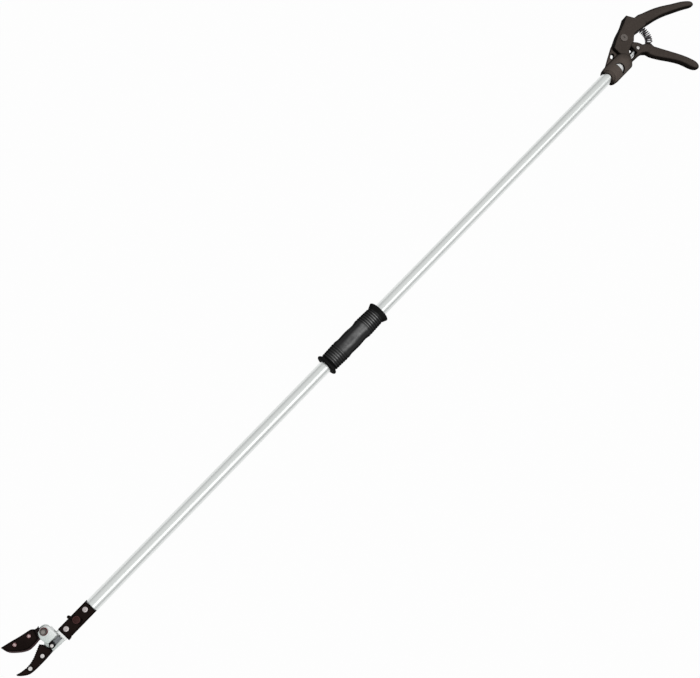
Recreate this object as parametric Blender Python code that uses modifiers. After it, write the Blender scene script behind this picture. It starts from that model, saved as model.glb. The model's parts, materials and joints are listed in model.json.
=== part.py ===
"""Pond shears: a long cutter for water plants, worked from a squeeze handle at the far end.

A squeezed trigger lever pulls a rod through the tube, and the rod turns a curved blade past a hooked jaw.
The tool lies flat. X runs along the tube from the jaws to the handle, Y is the side the blade opens to,
and Z is up. Sizes are metres and angles are degrees. The origin is on the floor, under the middle.
"""

import math

import bmesh
import bpy
from mathutils import Vector

# Clearances
SEAT_GAP = 0.0003
SLIDE_GAP = 0.0004
ROD_GAP = 0.0008
CUT_THROUGH = 0.002

# Tube
TUBE_LENGTH = 1.3165
TUBE_DIAMETER = 0.022
TUBE_WALL = 0.0012

# Middle grip
GRIP_LENGTH = 0.1309
GRIP_FROM_HEAD_END = 0.5869
GRIP_WALL = 0.0049
GRIP_SWELL = 0.0015
GRIP_FLANGE_HEIGHT = 0.0039
GRIP_FLANGE_LENGTH = 0.0080
GRIP_CONE_LENGTH = 0.0120
GRIP_NECK_DEPTH = 0.0007
GRIP_RIB_PITCH = 0.0044
GRIP_RIB_DEPTH = 0.0007
GRIP_RIBS_PER_END = 6

# Linkage
BLADE_PIVOT_HEIGHT = 0.0246
BLADE_PIVOT_TO_TUBE = 0.0735
CRANK_LENGTH = 0.0246
CRANK_REST_ANGLE = 16.0
TRIGGER_PIVOT_HEIGHT = 0.0295
TUBE_TO_TRIGGER_PIVOT = 0.0345
TRIGGER_ARM = 0.0327
TRIGGER_REST_ANGLE = 16.0
TRIGGER_TRAVEL = 32.0
LINK_MATCH = 0.85

# Blade and its holding plate
BLADE_THICKNESS = 0.003
BLADE_LENGTH = 0.0587
BLADE_TIP_RISE = 0.0288
BLADE_HUB_RADIUS = 0.0073
EDGE_BEVEL_WIDTH = 0.0026
EDGE_LAND = 0.0008
CRANK_WIDTH = 0.0062
CRANK_EYE_RADIUS = 0.0046
CRANK_EYE_BORE = 0.0052
HOLDER_THICKNESS = 0.0018
HOLDER_MARGIN = 0.0036
HOLDER_RIVETS = ((-0.0420, 0.0174), (-0.0196, 0.0113))
HOLDER_RIVET_SHANK = 0.0032
HOLDER_RIVET_HEAD = 0.0062

# Hooked jaw
HOOK_THICKNESS = 0.0029
HOOK_REACH = 0.0713
HOOK_TOOTH_PITCH = 0.0030
HOOK_TOOTH_DEPTH = 0.0008
HOOK_RIVETS = ((-0.0518, 0.0000), (-0.0274, 0.0003))
HOOK_RIVET_SHANK = 0.0042
HOOK_RIVET_HEAD = 0.0062
HOOK_RIVET_SINK = 0.0010

# Cast head body
BODY_PLATE_THICKNESS = 0.0036
BODY_BOSS_RADIUS = 0.0080
CHEEK_THICKNESS = 0.0030
CHEEK_WEB_THICKNESS = 0.0028
NECK_FRONT = 0.0125
NECK_LENGTH = 0.0220

# Pivot bolt
PIVOT_BOLT_DIAMETER = 0.0070
PIVOT_HEAD_DIAMETER = 0.0130
PIVOT_HEAD_HEIGHT = 0.0036
PIVOT_NUT_ACROSS_FLATS = 0.0094
PIVOT_NUT_HEIGHT = 0.0042
PIVOT_WASHER_DIAMETER = 0.0124
PIVOT_WASHER_THICKNESS = 0.0012
PIVOT_BOLT_PROUD = 0.0014

# Bracket between head and tube
BRACKET_LENGTH = 0.0561
BRACKET_WIDTH = 0.0224
BRACKET_OFFSET = 0.0007
BRACKET_WALL = 0.0020
BRACKET_TOP = 0.0110
BRACKET_SKIRT = 0.0210
BRACKET_LIP = 0.0014
BRACKET_LIP_LENGTH = 0.0040
FASTENER_LINE = 0.0033
NECK_SCREW_FROM_BLADE = 0.0255
TUBE_SCREW_INSET = 0.0096
SCREW_HEAD_DIAMETER = 0.0084
SCREW_HEAD_HEIGHT = 0.0024
SCREW_SHANK_DIAMETER = 0.0040
SCREW_DEPTH = 0.0040
TUBE_BLOCK_LENGTH = 0.0150
TUBE_SPIGOT_LENGTH = 0.0250
TUBE_BLOCK_BORE = 0.0105

# Lock lever on the bracket
LOCK_FROM_BLADE = 0.0450
LOCK_LINE = 0.0020
LOCK_LEVER_THICKNESS = 0.0020
LOCK_TAB_WIDTH = 0.0050
LOCK_BAR_WIDTH = 0.0096
LOCK_TAIL_LENGTH = 0.0088
LOCK_REST_ANGLE = 114.0
LOCK_BUTTON_DIAMETER = 0.0112
LOCK_BUTTON_HEIGHT = 0.0030
LOCK_SHAFT_DIAMETER = 0.0050
LOCK_PIN_RADIUS = 0.0012
LOCK_PIN_REACH = 0.0070

# Pull rod and its ends
ROD_DIAMETER = 0.0040
ROD_COLLAR_DIAMETER = 0.0090
ROD_COLLAR_WIDTH = 0.0030
ROD_COLLAR_FROM_EYE = 0.0458
CLEVIS_WIDTH = 0.0072
CLEVIS_EAR = 0.0018
CLEVIS_SLOT_DEPTH = 0.0060
CLEVIS_LENGTH = 0.0165
BLADE_PIN_DIAMETER = 0.0040
BLADE_PIN_HEAD = 0.0050
BLADE_PIN_HEAD_HEIGHT = 0.0011
BLADE_PIN_TAIL = 0.0010
PIN_CLIP_DIAMETER = 0.0068
PIN_CLIP_THICKNESS = 0.0006
ROD_EYE_RADIUS = 0.0054
ROD_EYE_THICKNESS = 0.0062
ROD_EYE_BORE = 0.0052
ROD_EYE_NECK_RADIUS = 0.0032
ROD_EYE_NECK_LENGTH = 0.0124
ROD_NUT_ACROSS_FLATS = 0.0076
LOCK_NUT_HEIGHT = 0.0036
ADJUSTING_NUT_HEIGHT = 0.0056
ROD_PIN_DIAMETER = 0.0046
ROD_PIN_HEAD = 0.0062
ROD_PIN_HEAD_HEIGHT = 0.0013

# Handle housing
COLLAR_RADIUS = 0.0176
COLLAR_MOUTH_RADIUS = 0.0147
COLLAR_DROP = 0.0011
COLLAR_LENGTH = 0.0555
COLLAR_BORE_DEPTH = 0.0440
COLLAR_MOUTH_LENGTH = 0.0105
COLLAR_NOSE_RADIUS = 0.0240
HOUSING_HALF_WIDTH = 0.0114
HOUSING_WALL = 0.0034
HOUSING_EDGE_ROUND = 0.0022
ROD_PASSAGE_RADIUS = 0.0105
WEB_HALF_WIDTH = 0.0030
WEB_HOLE_LENGTH = 0.0112
WEB_HOLE_WIDTH = 0.0062
WINDOW_HEIGHT = 0.0215
WINDOW_WIDTH = 0.0087
WINDOW_RELIEF_RADIUS = 0.0145
WINDOW_RELIEF_MARGIN = 0.0026
TRIGGER_RIVET_DIAMETER = 0.0070
TRIGGER_RIVET_HEAD = 0.0138
TRIGGER_RIVET_HEAD_HEIGHT = 0.0016
TRIGGER_RIVET_DIMPLE = 0.0036
SOCKET_SCREW_FROM_MOUTH = 0.0150
SOCKET_SCREW_DIAMETER = 0.0040
SOCKET_SCREW_HEAD = 0.0070
SOCKET_SCREW_HEAD_HEIGHT = 0.0018

# Trigger lever
LEVER_HALF_WIDTH = 0.0065
LEVER_HUB_RADIUS = 0.0082
LEVER_EDGE_ROUND = 0.0012
FORK_HALF_WIDTH = 0.0036
FORK_ROOT_RADIUS = 0.0064
FORK_REACH = 0.0300
TOE_END_GAP = 0.0004

# Return spring
SPRING_WIRE = 0.0017
SPRING_OUTSIDE = 0.0138
SPRING_CURLS = 12.0
SPRING_POINTS_PER_CURL = 10
SPRING_TOP = (0.0445, 0.0328)
SPRING_FOOT = (0.0350, -0.0114)
SPRING_TOP_PULL = (0.0060, -0.0600)
SPRING_FOOT_PULL = (-0.0510, -0.0310)
SPRING_PEG_RADIUS = 0.0046
SPRING_PEG_LENGTH = 0.0042

# Blade outline from the blade pivot: the back from tip to hub, then the cutting edge from root to tip
BLADE_BACK = ((-0.0436, 0.0249), (-0.0311, 0.0212), (-0.0192, 0.0183), (-0.0122, 0.0164), (-0.0078, 0.0122))
BLADE_SPUR = ((-0.0040, 0.0112), (-0.0008, 0.0118), (-0.0024, 0.0092))
BLADE_EDGE = ((-0.0070, -0.0070), (-0.0136, -0.0046), (-0.0227, -0.0053), (-0.0327, -0.0047),
              (-0.0412, -0.0003), (-0.0495, 0.0070), (-0.0556, 0.0142), (-0.0584, 0.0218))

# Hooked jaw outline from the tube axis under the blade pivot, its edge and back as shares of the reach
HOOK_EDGE = ((0.9046, 0.0064), (0.7924, 0.0052), (0.6536, 0.0058), (0.5302, 0.0082),
             (0.3927, 0.0125), (0.2721, 0.0164))
HOOK_TIP_HEIGHT = 0.0086
HOOK_HEEL = ((-0.0160, 0.0120), (-0.0143, 0.0085), (-0.0140, 0.0042), (-0.0124, 0.0012), (-0.0122, -0.0045),
             (-0.0140, -0.0064))
HOOK_BACK = ((0.3773, -0.0073), (0.6508, -0.0071), (0.8135, -0.0052), (0.9313, 0.0006), (0.9986, 0.0060))

# Cast head body outlines from the same point
TONGUE = ((-0.0150, 0.0106), (-0.0240, 0.0100), (-0.0360, 0.0060), (-0.0500, 0.0026), (-0.0562, 0.0012),
          (-0.0566, -0.0022), (-0.0500, -0.0054), (-0.0120, -0.0066))
CHEEK_LEFT = ((-0.0064, 0.0300), (-0.0092, 0.0262), (-0.0108, 0.0204), (-0.0101, 0.0136), (-0.0082, 0.0068))
CHEEK_CROWN = (0.0006, 0.0212)
CHEEK_CROWN_RADIUS = 0.0102
CHEEK_FOOT = 0.0068

# Housing outlines from a point on the tube axis under the trigger pivot
HOUSING_BACK = ((-0.0284, 0.0298), (-0.0190, 0.0342), (0.0010, 0.0424), (0.0206, 0.0480), (0.0380, 0.0556))
HOUSING_SHOULDER = ((0.0466, 0.0420), (0.0580, 0.0385), (0.0585, 0.0205))
HOUSING_UNDERSIDE = ((0.0520, 0.0168), (0.0400, 0.0186), (0.0250, 0.0206), (0.0165, 0.0168), (0.0106, 0.0124),
                     (-0.0030, 0.0092), (-0.0118, 0.0047), (-0.0164, -0.0020), (-0.0196, -0.0078),
                     (-0.0226, -0.0130), (-0.0290, -0.0130))
CAVITY_ROOF = ((-0.0245, 0.0262), (-0.0170, 0.0316), (0.0020, 0.0396), (0.0205, 0.0446), (0.0320, 0.0482))
SPRING_POCKET = (0.0368, 0.0535)
WEB_OUTLINE = ((-0.0640, 0.0160), (-0.0445, 0.0254), (-0.0250, 0.0345), (-0.0250, 0.0100), (-0.0640, 0.0100))
WEB_HOLE_CENTRE = (-0.0391, 0.0212)
WEB_HOLE_TILT = 24.0
WINDOW_CHORD = -0.0540
WINDOW_CENTRE_HEIGHT = -0.0048

# Fixed handle, as centre x, centre y, half height, half width and how square the section is
FIXED_HANDLE = ((0.0440, 0.0306, 0.0120, 0.0110, 6.0), (0.0560, 0.0291, 0.0122, 0.0111, 6.0),
                (0.0640, 0.0268, 0.0117, 0.0104, 4.4), (0.0843, 0.0216, 0.0109, 0.0089, 3.0),
                (0.1038, 0.0145, 0.0098, 0.0083, 2.5), (0.1236, 0.0048, 0.0084, 0.0080, 2.5),
                (0.1434, -0.0048, 0.0076, 0.0075, 2.5), (0.1550, -0.0120, 0.0066, 0.0065, 2.5),
                (0.1606, -0.0160, 0.0050, 0.0050, 2.5), (0.1634, -0.0182, 0.0022, 0.0024, 2.5))

# Trigger lever outlines from a point on the tube axis under the trigger pivot
LEVER_FRONT = ((0.0100, 0.0240), (0.0116, 0.0130), (0.0176, 0.0054), (0.0223, -0.0040))
SEAT_FACET = ((0.0296, -0.0072), (0.0358, -0.0172))
LEVER_ROOT = ((0.0360, -0.0290), (0.0240, -0.0280))
LEVER_HEEL = ((0.0170, -0.0212), (0.0104, -0.0154), (0.0050, -0.0136))
TOE_TOP = -0.0074
TOE_BOTTOM = -0.0126
TOE_SHOULDER = -0.0030
TOE_ROUND = 0.0006
LEVER_REAR = ((0.0012, -0.0060), (0.0014, 0.0000), (0.0020, 0.0080), (-0.0030, 0.0150), (-0.0084, 0.0230))
TRIGGER_HANDLE = ((0.0226, -0.0134, 0.0098, 0.0060), (0.0263, -0.0227, 0.0114, 0.0068),
                  (0.0358, -0.0384, 0.0109, 0.0074), (0.0478, -0.0560, 0.0095, 0.0075),
                  (0.0596, -0.0750, 0.0087, 0.0075), (0.0668, -0.0922, 0.0092, 0.0073),
                  (0.0704, -0.1012, 0.0080, 0.0066), (0.0728, -0.1060, 0.0054, 0.0048),
                  (0.0740, -0.1084, 0.0022, 0.0022))

# Facets
ROUND_STEPS = 32
SMALL_ROUND_STEPS = 20
OUTLINE_STEPS = 4
LOFT_POINTS = 20
LEVER_SQUARENESS = 2.5

# Finishes, as colour, roughness and metallic value
FINISHES = {
    "aluminium": ((0.78, 0.80, 0.82), 0.30, 1.0),
    "grip_rubber": ((0.045, 0.045, 0.048), 0.65, 0.0),
    "handle_paint": ((0.065, 0.055, 0.050), 0.50, 0.0),
    "black_paint": ((0.022, 0.018, 0.018), 0.45, 0.0),
    "cast_silver": ((0.74, 0.77, 0.76), 0.35, 1.0),
    "blade_coating": ((0.030, 0.022, 0.022), 0.40, 0.2),
    "rivet_steel": ((0.80, 0.74, 0.73), 0.30, 1.0),
    "zinc": ((0.62, 0.62, 0.64), 0.35, 1.0),
    "dark_steel": ((0.20, 0.21, 0.23), 0.40, 1.0),
    "red_washer": ((0.22, 0.045, 0.055), 0.50, 0.2),
    "button_brown": ((0.17, 0.060, 0.058), 0.40, 0.0),
    "spring_steel": ((0.52, 0.49, 0.53), 0.30, 1.0),
}

# Heights of the layers in the head, worked out from the blade upward and downward
BLADE_FACE = BLADE_THICKNESS / 2
HOLDER_TOP = BLADE_FACE + SEAT_GAP + HOLDER_THICKNESS
CHEEK_UNDER = HOLDER_TOP + SLIDE_GAP
CHEEK_TOP = CHEEK_UNDER + CHEEK_THICKNESS
HOOK_TOP = -BLADE_FACE - SEAT_GAP
BODY_PLATE_TOP = HOOK_TOP - HOOK_THICKNESS - SEAT_GAP
BODY_PLATE_UNDER = BODY_PLATE_TOP - BODY_PLATE_THICKNESS
EAR_TOP = BLADE_FACE + SEAT_GAP + CLEVIS_EAR
BRACKET_INSIDE_TOP = BRACKET_TOP - BRACKET_WALL
BLOCK_TOP = BRACKET_INSIDE_TOP - SEAT_GAP
LOCK_TO_SCREW = math.hypot(LOCK_FROM_BLADE - NECK_SCREW_FROM_BLADE, FASTENER_LINE - LOCK_LINE)
LOCK_TAB_LENGTH = LOCK_TO_SCREW - SCREW_HEAD_DIAMETER / 2 - SLIDE_GAP
LOCK_PIN_LOW = ROD_DIAMETER / 2 + SLIDE_GAP
BLOCK_HALF_WIDTH = BRACKET_WIDTH / 2 - BRACKET_WALL - SEAT_GAP
CAVITY_HALF_WIDTH = HOUSING_HALF_WIDTH - HOUSING_WALL
TUBE_RADIUS = TUBE_DIAMETER / 2
TUBE_BORE = TUBE_RADIUS - TUBE_WALL


def polar(radius, degrees, centre=(0.0, 0.0)):
    """Return the point at a radius and an angle from a centre."""
    angle = math.radians(degrees)
    return (centre[0] + radius * math.cos(angle), centre[1] + radius * math.sin(angle))


def arc(centre, radius, start, end, steps):
    """Return points along an arc, both ends included."""
    return [polar(radius, start + (end - start) * i / steps, centre) for i in range(steps + 1)]


def smooth(points, steps=OUTLINE_STEPS):
    """Return a smooth run through the points, both ends included."""
    runs = []
    for i in range(len(points) - 1):
        before = Vector(points[max(i - 1, 0)])
        start = Vector(points[i])
        end = Vector(points[i + 1])
        after = Vector(points[min(i + 2, len(points) - 1)])
        for k in range(steps):
            t = k / steps
            bend = (2 * before - 5 * start + 4 * end - after) * t * t
            twist = (3 * start - before - 3 * end + after) * t * t * t
            runs.append(tuple(start + ((end - before) * t + bend + twist) / 2))
    runs.append(tuple(points[-1]))
    return runs


def toothed(points, pitch, depth):
    """Return a run with saw teeth cut into it, from points spaced evenly along the run."""
    lengths = [0.0]
    for a, b in zip(points, points[1:]):
        lengths.append(lengths[-1] + math.dist(a, b))
    count = int(lengths[-1] / pitch)
    teeth = []
    for k in range(2 * count + 1):
        along = lengths[-1] * k / (2 * count)
        i = max(j for j in range(len(points) - 1) if lengths[j] <= along)
        step = Vector(points[i + 1]) - Vector(points[i])
        spot = Vector(points[i]) + step * (along - lengths[i]) / (lengths[i + 1] - lengths[i])
        inward = Vector((step.y, -step.x)).normalized() * (depth if k % 2 else 0.0)
        teeth.append(tuple(spot + inward))
    return teeth


def crank_point(turn):
    """Return where the crank's eye is, from under the blade pivot, after the blade has turned by radians."""
    angle = math.radians(CRANK_REST_ANGLE) - turn
    return (-CRANK_LENGTH * math.sin(angle), BLADE_PIVOT_HEIGHT - CRANK_LENGTH * math.cos(angle))


def trigger_point(turn):
    """Return where the lever's rod pin is, from under the trigger pivot, after it has turned by radians."""
    angle = math.radians(TRIGGER_REST_ANGLE) + turn
    return (TRIGGER_ARM * math.sin(angle), TRIGGER_PIVOT_HEIGHT - TRIGGER_ARM * math.cos(angle))


PIVOT_SPAN = BLADE_PIVOT_TO_TUBE + TUBE_LENGTH + TUBE_TO_TRIGGER_PIVOT
CRANK_PIN = crank_point(0.0)
ROD_PIN = trigger_point(0.0)
ROD_DROP = ROD_PIN[1] - CRANK_PIN[1]
ROD_SPAN = math.hypot(PIVOT_SPAN + ROD_PIN[0] - CRANK_PIN[0], ROD_DROP)
ROD_SLOPE = math.asin(ROD_DROP / ROD_SPAN)


def solve_linkage(turn):
    """Return the blade's turn and the rod's slope that hold the rod's length, for a turn of the trigger."""
    pin = trigger_point(turn)
    low, high = -0.2, 1.4
    for _ in range(50):
        middle = (low + high) / 2
        eye = crank_point(middle)
        if math.dist((PIVOT_SPAN + pin[0], pin[1]), eye) > ROD_SPAN:
            low = middle
        else:
            high = middle
    eye = crank_point(high)
    return high, math.asin((pin[1] - eye[1]) / ROD_SPAN)


def linkage_ratios():
    """Return how far the blade and the rod turn for each radian of the trigger."""
    matched = math.radians(TRIGGER_TRAVEL) * LINK_MATCH
    full = math.radians(TRIGGER_TRAVEL)
    blade_turn, _ = solve_linkage(matched)
    _, slope = solve_linkage(full)
    return blade_turn / matched, (slope - ROD_SLOPE) / full - 1.0


def linkage_miss(blade_ratio, rod_ratio, steps=32):
    """Return the widest distance between the crank's eye and the rod's pin, with the ratios held constant."""
    widest = 0.0
    for i in range(steps + 1):
        turn = math.radians(TRIGGER_TRAVEL) * i / steps
        pin = trigger_point(turn)
        slope = ROD_SLOPE + turn * (1.0 + rod_ratio)
        end = (PIVOT_SPAN + pin[0] - ROD_SPAN * math.cos(slope), pin[1] - ROD_SPAN * math.sin(slope))
        widest = max(widest, math.dist(end, crank_point(turn * blade_ratio)))
    return widest


def clear_scene():
    """Remove every object of the scene."""
    for item in list(bpy.data.objects):
        bpy.data.objects.remove(item, do_unlink=True)


def new_collection(name):
    """Add a collection to the scene."""
    collection = bpy.data.collections.new(name)
    bpy.context.scene.collection.children.link(collection)
    return collection


def make_materials():
    """Make one Principled material for each finish."""
    materials = {}
    for name, (colour, roughness, metallic) in FINISHES.items():
        material = bpy.data.materials.new(name)
        material.use_nodes = True
        shader = material.node_tree.nodes["Principled BSDF"]
        shader.inputs["Base Color"].default_value = (*colour, 1.0)
        shader.inputs["Roughness"].default_value = roughness
        shader.inputs["Metallic"].default_value = metallic
        materials[name] = material
    return materials


def add_frame(name, parent, location, turn=0.0):
    """Add an empty that carries pieces, turned about Z by radians."""
    frame = bpy.data.objects.new(name, None)
    frame.empty_display_size = 0.01
    frame.parent = parent
    frame.location = location
    frame.rotation_euler = (0.0, 0.0, turn)
    GUIDES.objects.link(frame)
    return frame


def add_mesh(name, mesh, parent, location=(0.0, 0.0, 0.0), finish=None, rotation=(0.0, 0.0, 0.0)):
    """Add a mesh as a piece with a finish, or without one as a hidden cutter or joined shape."""
    item = bpy.data.objects.new(name, mesh)
    item.parent = parent
    item.location = location
    item.rotation_euler = rotation
    if finish:
        material = MATERIALS[finish].copy()
        material.name = name + "_finish"
        mesh.materials.append(material)
        mesh.shade_smooth()
        mesh.set_sharp_from_angle(angle=math.radians(35.0))
        PIECES.objects.link(item)
    else:
        item.hide_render = True
        item.display_type = "WIRE"
        GUIDES.objects.link(item)
    return item


def turned_mesh(name, profile, steps=ROUND_STEPS):
    """Make a turned shape about Z from a profile of radius and height that runs down its outer side."""
    mesh = bpy.data.meshes.new(name)
    ends_on_axis = profile[0][0] == 0.0 and profile[-1][0] == 0.0
    edges = [(i, i + 1) for i in range(len(profile) - 1)]
    if not ends_on_axis:
        edges.append((len(profile) - 1, 0))
    mesh.from_pydata([(radius, 0.0, height) for radius, height in profile], edges, [])
    item = bpy.data.objects.new(name, mesh)
    GUIDES.objects.link(item)
    screw = item.modifiers.new("Turn", "SCREW")
    screw.axis = "Z"
    screw.angle = math.tau
    screw.steps = steps
    screw.render_steps = steps
    screw.use_merge_vertices = True
    screw.merge_threshold = 0.00001
    return evaluated_mesh(item)


def evaluated_mesh(item):
    """Return the finished mesh of an object and remove the object."""
    bpy.context.view_layer.update()
    graph = bpy.context.evaluated_depsgraph_get()
    mesh = bpy.data.meshes.new_from_object(item.evaluated_get(graph))
    mesh.name = item.name
    bpy.data.objects.remove(item, do_unlink=True)
    return mesh


def plate_mesh(name, outline, low, high, edge_round=0.0, segments=2):
    """Make a plate from a closed outline in X and Y, between two heights, with rounded rims."""
    curve = bpy.data.curves.new(name, "CURVE")
    curve.dimensions = "2D"
    curve.fill_mode = "BOTH"
    curve.extrude = (high - low) / 2
    spline = curve.splines.new("POLY")
    spline.points.add(len(outline) - 1)
    for point, (x, y) in zip(spline.points, outline):
        point.co = (x, y, 0.0, 1.0)
    spline.use_cyclic_u = True
    item = bpy.data.objects.new(name, curve)
    GUIDES.objects.link(item)
    mesh = evaluated_mesh(item)
    shape = bmesh.new()
    shape.from_mesh(mesh)
    bmesh.ops.remove_doubles(shape, verts=shape.verts, dist=0.000002)
    bmesh.ops.dissolve_limit(shape, angle_limit=math.radians(0.5), verts=shape.verts, edges=shape.edges)
    bmesh.ops.translate(shape, verts=shape.verts, vec=(0.0, 0.0, (low + high) / 2))
    if edge_round:
        rim = [edge for edge in shape.edges if abs(edge.verts[0].co.z - edge.verts[1].co.z) < 0.000001]
        bmesh.ops.bevel(shape, geom=rim, offset=edge_round, segments=segments, profile=0.5,
                        affect="EDGES", clamp_overlap=True)
    bmesh.ops.recalc_face_normals(shape, faces=shape.faces)
    shape.to_mesh(mesh)
    shape.free()
    return mesh


def box_mesh(name, low, high):
    """Make a box between two corners."""
    mesh = bpy.data.meshes.new(name)
    shape = bmesh.new()
    bmesh.ops.create_cube(shape, size=1.0)
    size = Vector(high) - Vector(low)
    bmesh.ops.scale(shape, verts=shape.verts, vec=size)
    bmesh.ops.translate(shape, verts=shape.verts, vec=(Vector(high) + Vector(low)) / 2)
    shape.to_mesh(mesh)
    shape.free()
    return mesh


def drum_mesh(name, radius, low, high, steps=SMALL_ROUND_STEPS, turn=0.0):
    """Make an upright cylinder, or a prism with few steps, between two heights."""
    mesh = bpy.data.meshes.new(name)
    shape = bmesh.new()
    bmesh.ops.create_cone(shape, cap_ends=True, segments=steps, radius1=radius, radius2=radius,
                          depth=high - low)
    for vertex in shape.verts:
        x, y = vertex.co.x, vertex.co.y
        vertex.co.x = x * math.cos(turn) - y * math.sin(turn)
        vertex.co.y = x * math.sin(turn) + y * math.cos(turn)
        vertex.co.z += (low + high) / 2
    shape.to_mesh(mesh)
    shape.free()
    return mesh


def loft_mesh(name, sections):
    """Make a solid through rounded sections that stand square to a path in X and Y."""
    centres = [Vector(section[:2]) for section in sections]
    rings = []
    for i, (_, _, half_height, half_width, square) in enumerate(sections):
        ahead = (centres[min(i + 1, len(centres) - 1)] - centres[max(i - 1, 0)]).normalized()
        side = Vector((-ahead.y, ahead.x))
        ring = []
        for k in range(LOFT_POINTS):
            angle = math.tau * k / LOFT_POINTS
            across = math.copysign(abs(math.cos(angle)) ** (2 / square), math.cos(angle)) * half_height
            up = math.copysign(abs(math.sin(angle)) ** (2 / square), math.sin(angle)) * half_width
            spot = centres[i] + side * across
            ring.append((spot.x, spot.y, up))
        rings.append(ring)
    mesh = bpy.data.meshes.new(name)
    shape = bmesh.new()
    loops = [[shape.verts.new(point) for point in ring] for ring in rings]
    for lower, upper in zip(loops, loops[1:]):
        for k in range(LOFT_POINTS):
            nxt = (k + 1) % LOFT_POINTS
            shape.faces.new((lower[k], lower[nxt], upper[nxt], upper[k]))
    shape.faces.new(list(reversed(loops[0])))
    shape.faces.new(loops[-1])
    bmesh.ops.recalc_face_normals(shape, faces=shape.faces)
    shape.to_mesh(mesh)
    shape.free()
    return mesh


def smooth_sections(sections, steps=2):
    """Return more sections on smooth runs through the given ones."""
    finer = []
    for i in range(len(sections) - 1):
        later = sections[min(i + 2, len(sections) - 1)]
        rows = [sections[max(i - 1, 0)], sections[i], sections[i + 1], later]
        for k in range(steps):
            t = k / steps
            row = []
            for before, start, end, after in zip(*rows):
                bend = (2 * before - 5 * start + 4 * end - after) * t * t
                twist = (3 * start - before - 3 * end + after) * t * t * t
                row.append(start + ((end - before) * t + bend + twist) / 2)
            finer.append(tuple(row))
    finer.append(tuple(sections[-1]))
    return finer


def combine(item, other, operation):
    """Join a shape to a piece, or cut it away."""
    change = item.modifiers.new(other.name, "BOOLEAN")
    change.operation = operation
    change.solver = "EXACT"
    change.object = other


def join(item, other):
    """Join a hidden shape to a piece."""
    combine(item, other, "UNION")


def cut(item, other):
    """Cut a hidden shape out of a piece."""
    combine(item, other, "DIFFERENCE")


def pin_profile(head_radius, head_height, shank_radius, top, bottom, chamfer=0.0003):
    """Return the profile of a pin whose domed head ends at a height and whose shank ends at another."""
    return [(0.0, top), (head_radius * 0.62, top), (head_radius, top - head_height * 0.45),
            (head_radius, top - head_height), (shank_radius, top - head_height),
            (shank_radius, bottom + chamfer), (shank_radius - chamfer, bottom), (0.0, bottom)]


def make_tube(frame):
    """Make the one long tube."""
    mesh = turned_mesh("tube", [(TUBE_BORE, TUBE_LENGTH), (TUBE_RADIUS, TUBE_LENGTH),
                                (TUBE_RADIUS, 0.0), (TUBE_BORE, 0.0)], steps=40)
    return add_mesh("tube", mesh, frame, finish="aluminium", rotation=(0.0, math.pi / 2, 0.0))


def grip_profile():
    """Return the grip's outer side, from its handle end down to its head end."""
    skin = TUBE_RADIUS + GRIP_WALL
    crest = skin + GRIP_SWELL
    flange = skin + GRIP_FLANGE_HEIGHT
    half = GRIP_LENGTH / 2
    profile = [(flange - 0.0010, half), (flange, half - 0.0012), (flange - 0.0008, half - 0.0034),
               (skin - GRIP_NECK_DEPTH, half - GRIP_CONE_LENGTH)]
    ribs = GRIP_RIBS_PER_END * GRIP_RIB_PITCH
    for end in (1, -1):
        start = half - GRIP_CONE_LENGTH if end > 0 else -half + GRIP_FLANGE_LENGTH + ribs
        for k in range(GRIP_RIBS_PER_END):
            rise = k / (GRIP_RIBS_PER_END - 1)
            swell = GRIP_SWELL * (rise if end > 0 else 1.0 - rise)
            place = start - (k + 0.5) * GRIP_RIB_PITCH
            profile.append((skin + swell * 0.7 + GRIP_RIB_DEPTH, place + GRIP_RIB_PITCH * 0.22))
            profile.append((skin + swell * 0.7 + GRIP_RIB_DEPTH, place - GRIP_RIB_PITCH * 0.22))
            profile.append((skin + swell * 0.7, place - GRIP_RIB_PITCH * 0.42))
        if end > 0:
            upper = start - ribs
            lower = -half + GRIP_FLANGE_LENGTH + ribs
            for t, radius in ((0.04, crest), (0.21, skin + 0.0001), (0.51, crest - 0.0005),
                              (0.79, skin + 0.0005), (0.94, crest)):
                profile.append((radius, upper + (lower - upper) * t))
    profile += [(skin - GRIP_NECK_DEPTH, -half + GRIP_FLANGE_LENGTH), (flange - 0.0008, -half + 0.0042),
                (flange - 0.0002, -half + 0.0020), (flange - 0.0012, -half)]
    return profile


def make_grip(frame):
    """Make the rubber sleeve on the middle of the tube."""
    bore = TUBE_RADIUS + SEAT_GAP
    outer = grip_profile()
    profile = outer + [(bore, outer[-1][1]), (bore, outer[0][1])]
    return add_mesh("mid_grip", turned_mesh("mid_grip", profile, steps=28), frame,
                    (GRIP_FROM_HEAD_END, 0.0, 0.0), "grip_rubber", (0.0, math.pi / 2, 0.0))


def blade_outline():
    """Return the blade's outline from its pivot, with its hub and crank."""
    eye = (CRANK_PIN[0], CRANK_PIN[1] - BLADE_PIVOT_HEIGHT)
    lean = math.degrees(math.atan2(eye[1], eye[0]))
    half = math.degrees(math.asin(CRANK_WIDTH / 2 / CRANK_EYE_RADIUS))
    hub_half = math.degrees(math.asin(CRANK_WIDTH / 2 / BLADE_HUB_RADIUS))
    tip = (-BLADE_LENGTH, BLADE_TIP_RISE)
    edge = smooth([tip] + list(reversed(BLADE_EDGE)))
    crank = arc(eye, CRANK_EYE_RADIUS, lean - 180.0 + half, lean + 180.0 - half, 14)
    hub = arc((0.0, 0.0), BLADE_HUB_RADIUS, lean + hub_half, 70.0, 12)
    back = smooth([BLADE_BACK[-1 - i] for i in range(len(BLADE_BACK))] + [tip])
    return edge + crank + hub + [BLADE_SPUR[2], BLADE_SPUR[1], BLADE_SPUR[0]] + back[:-1]


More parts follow.
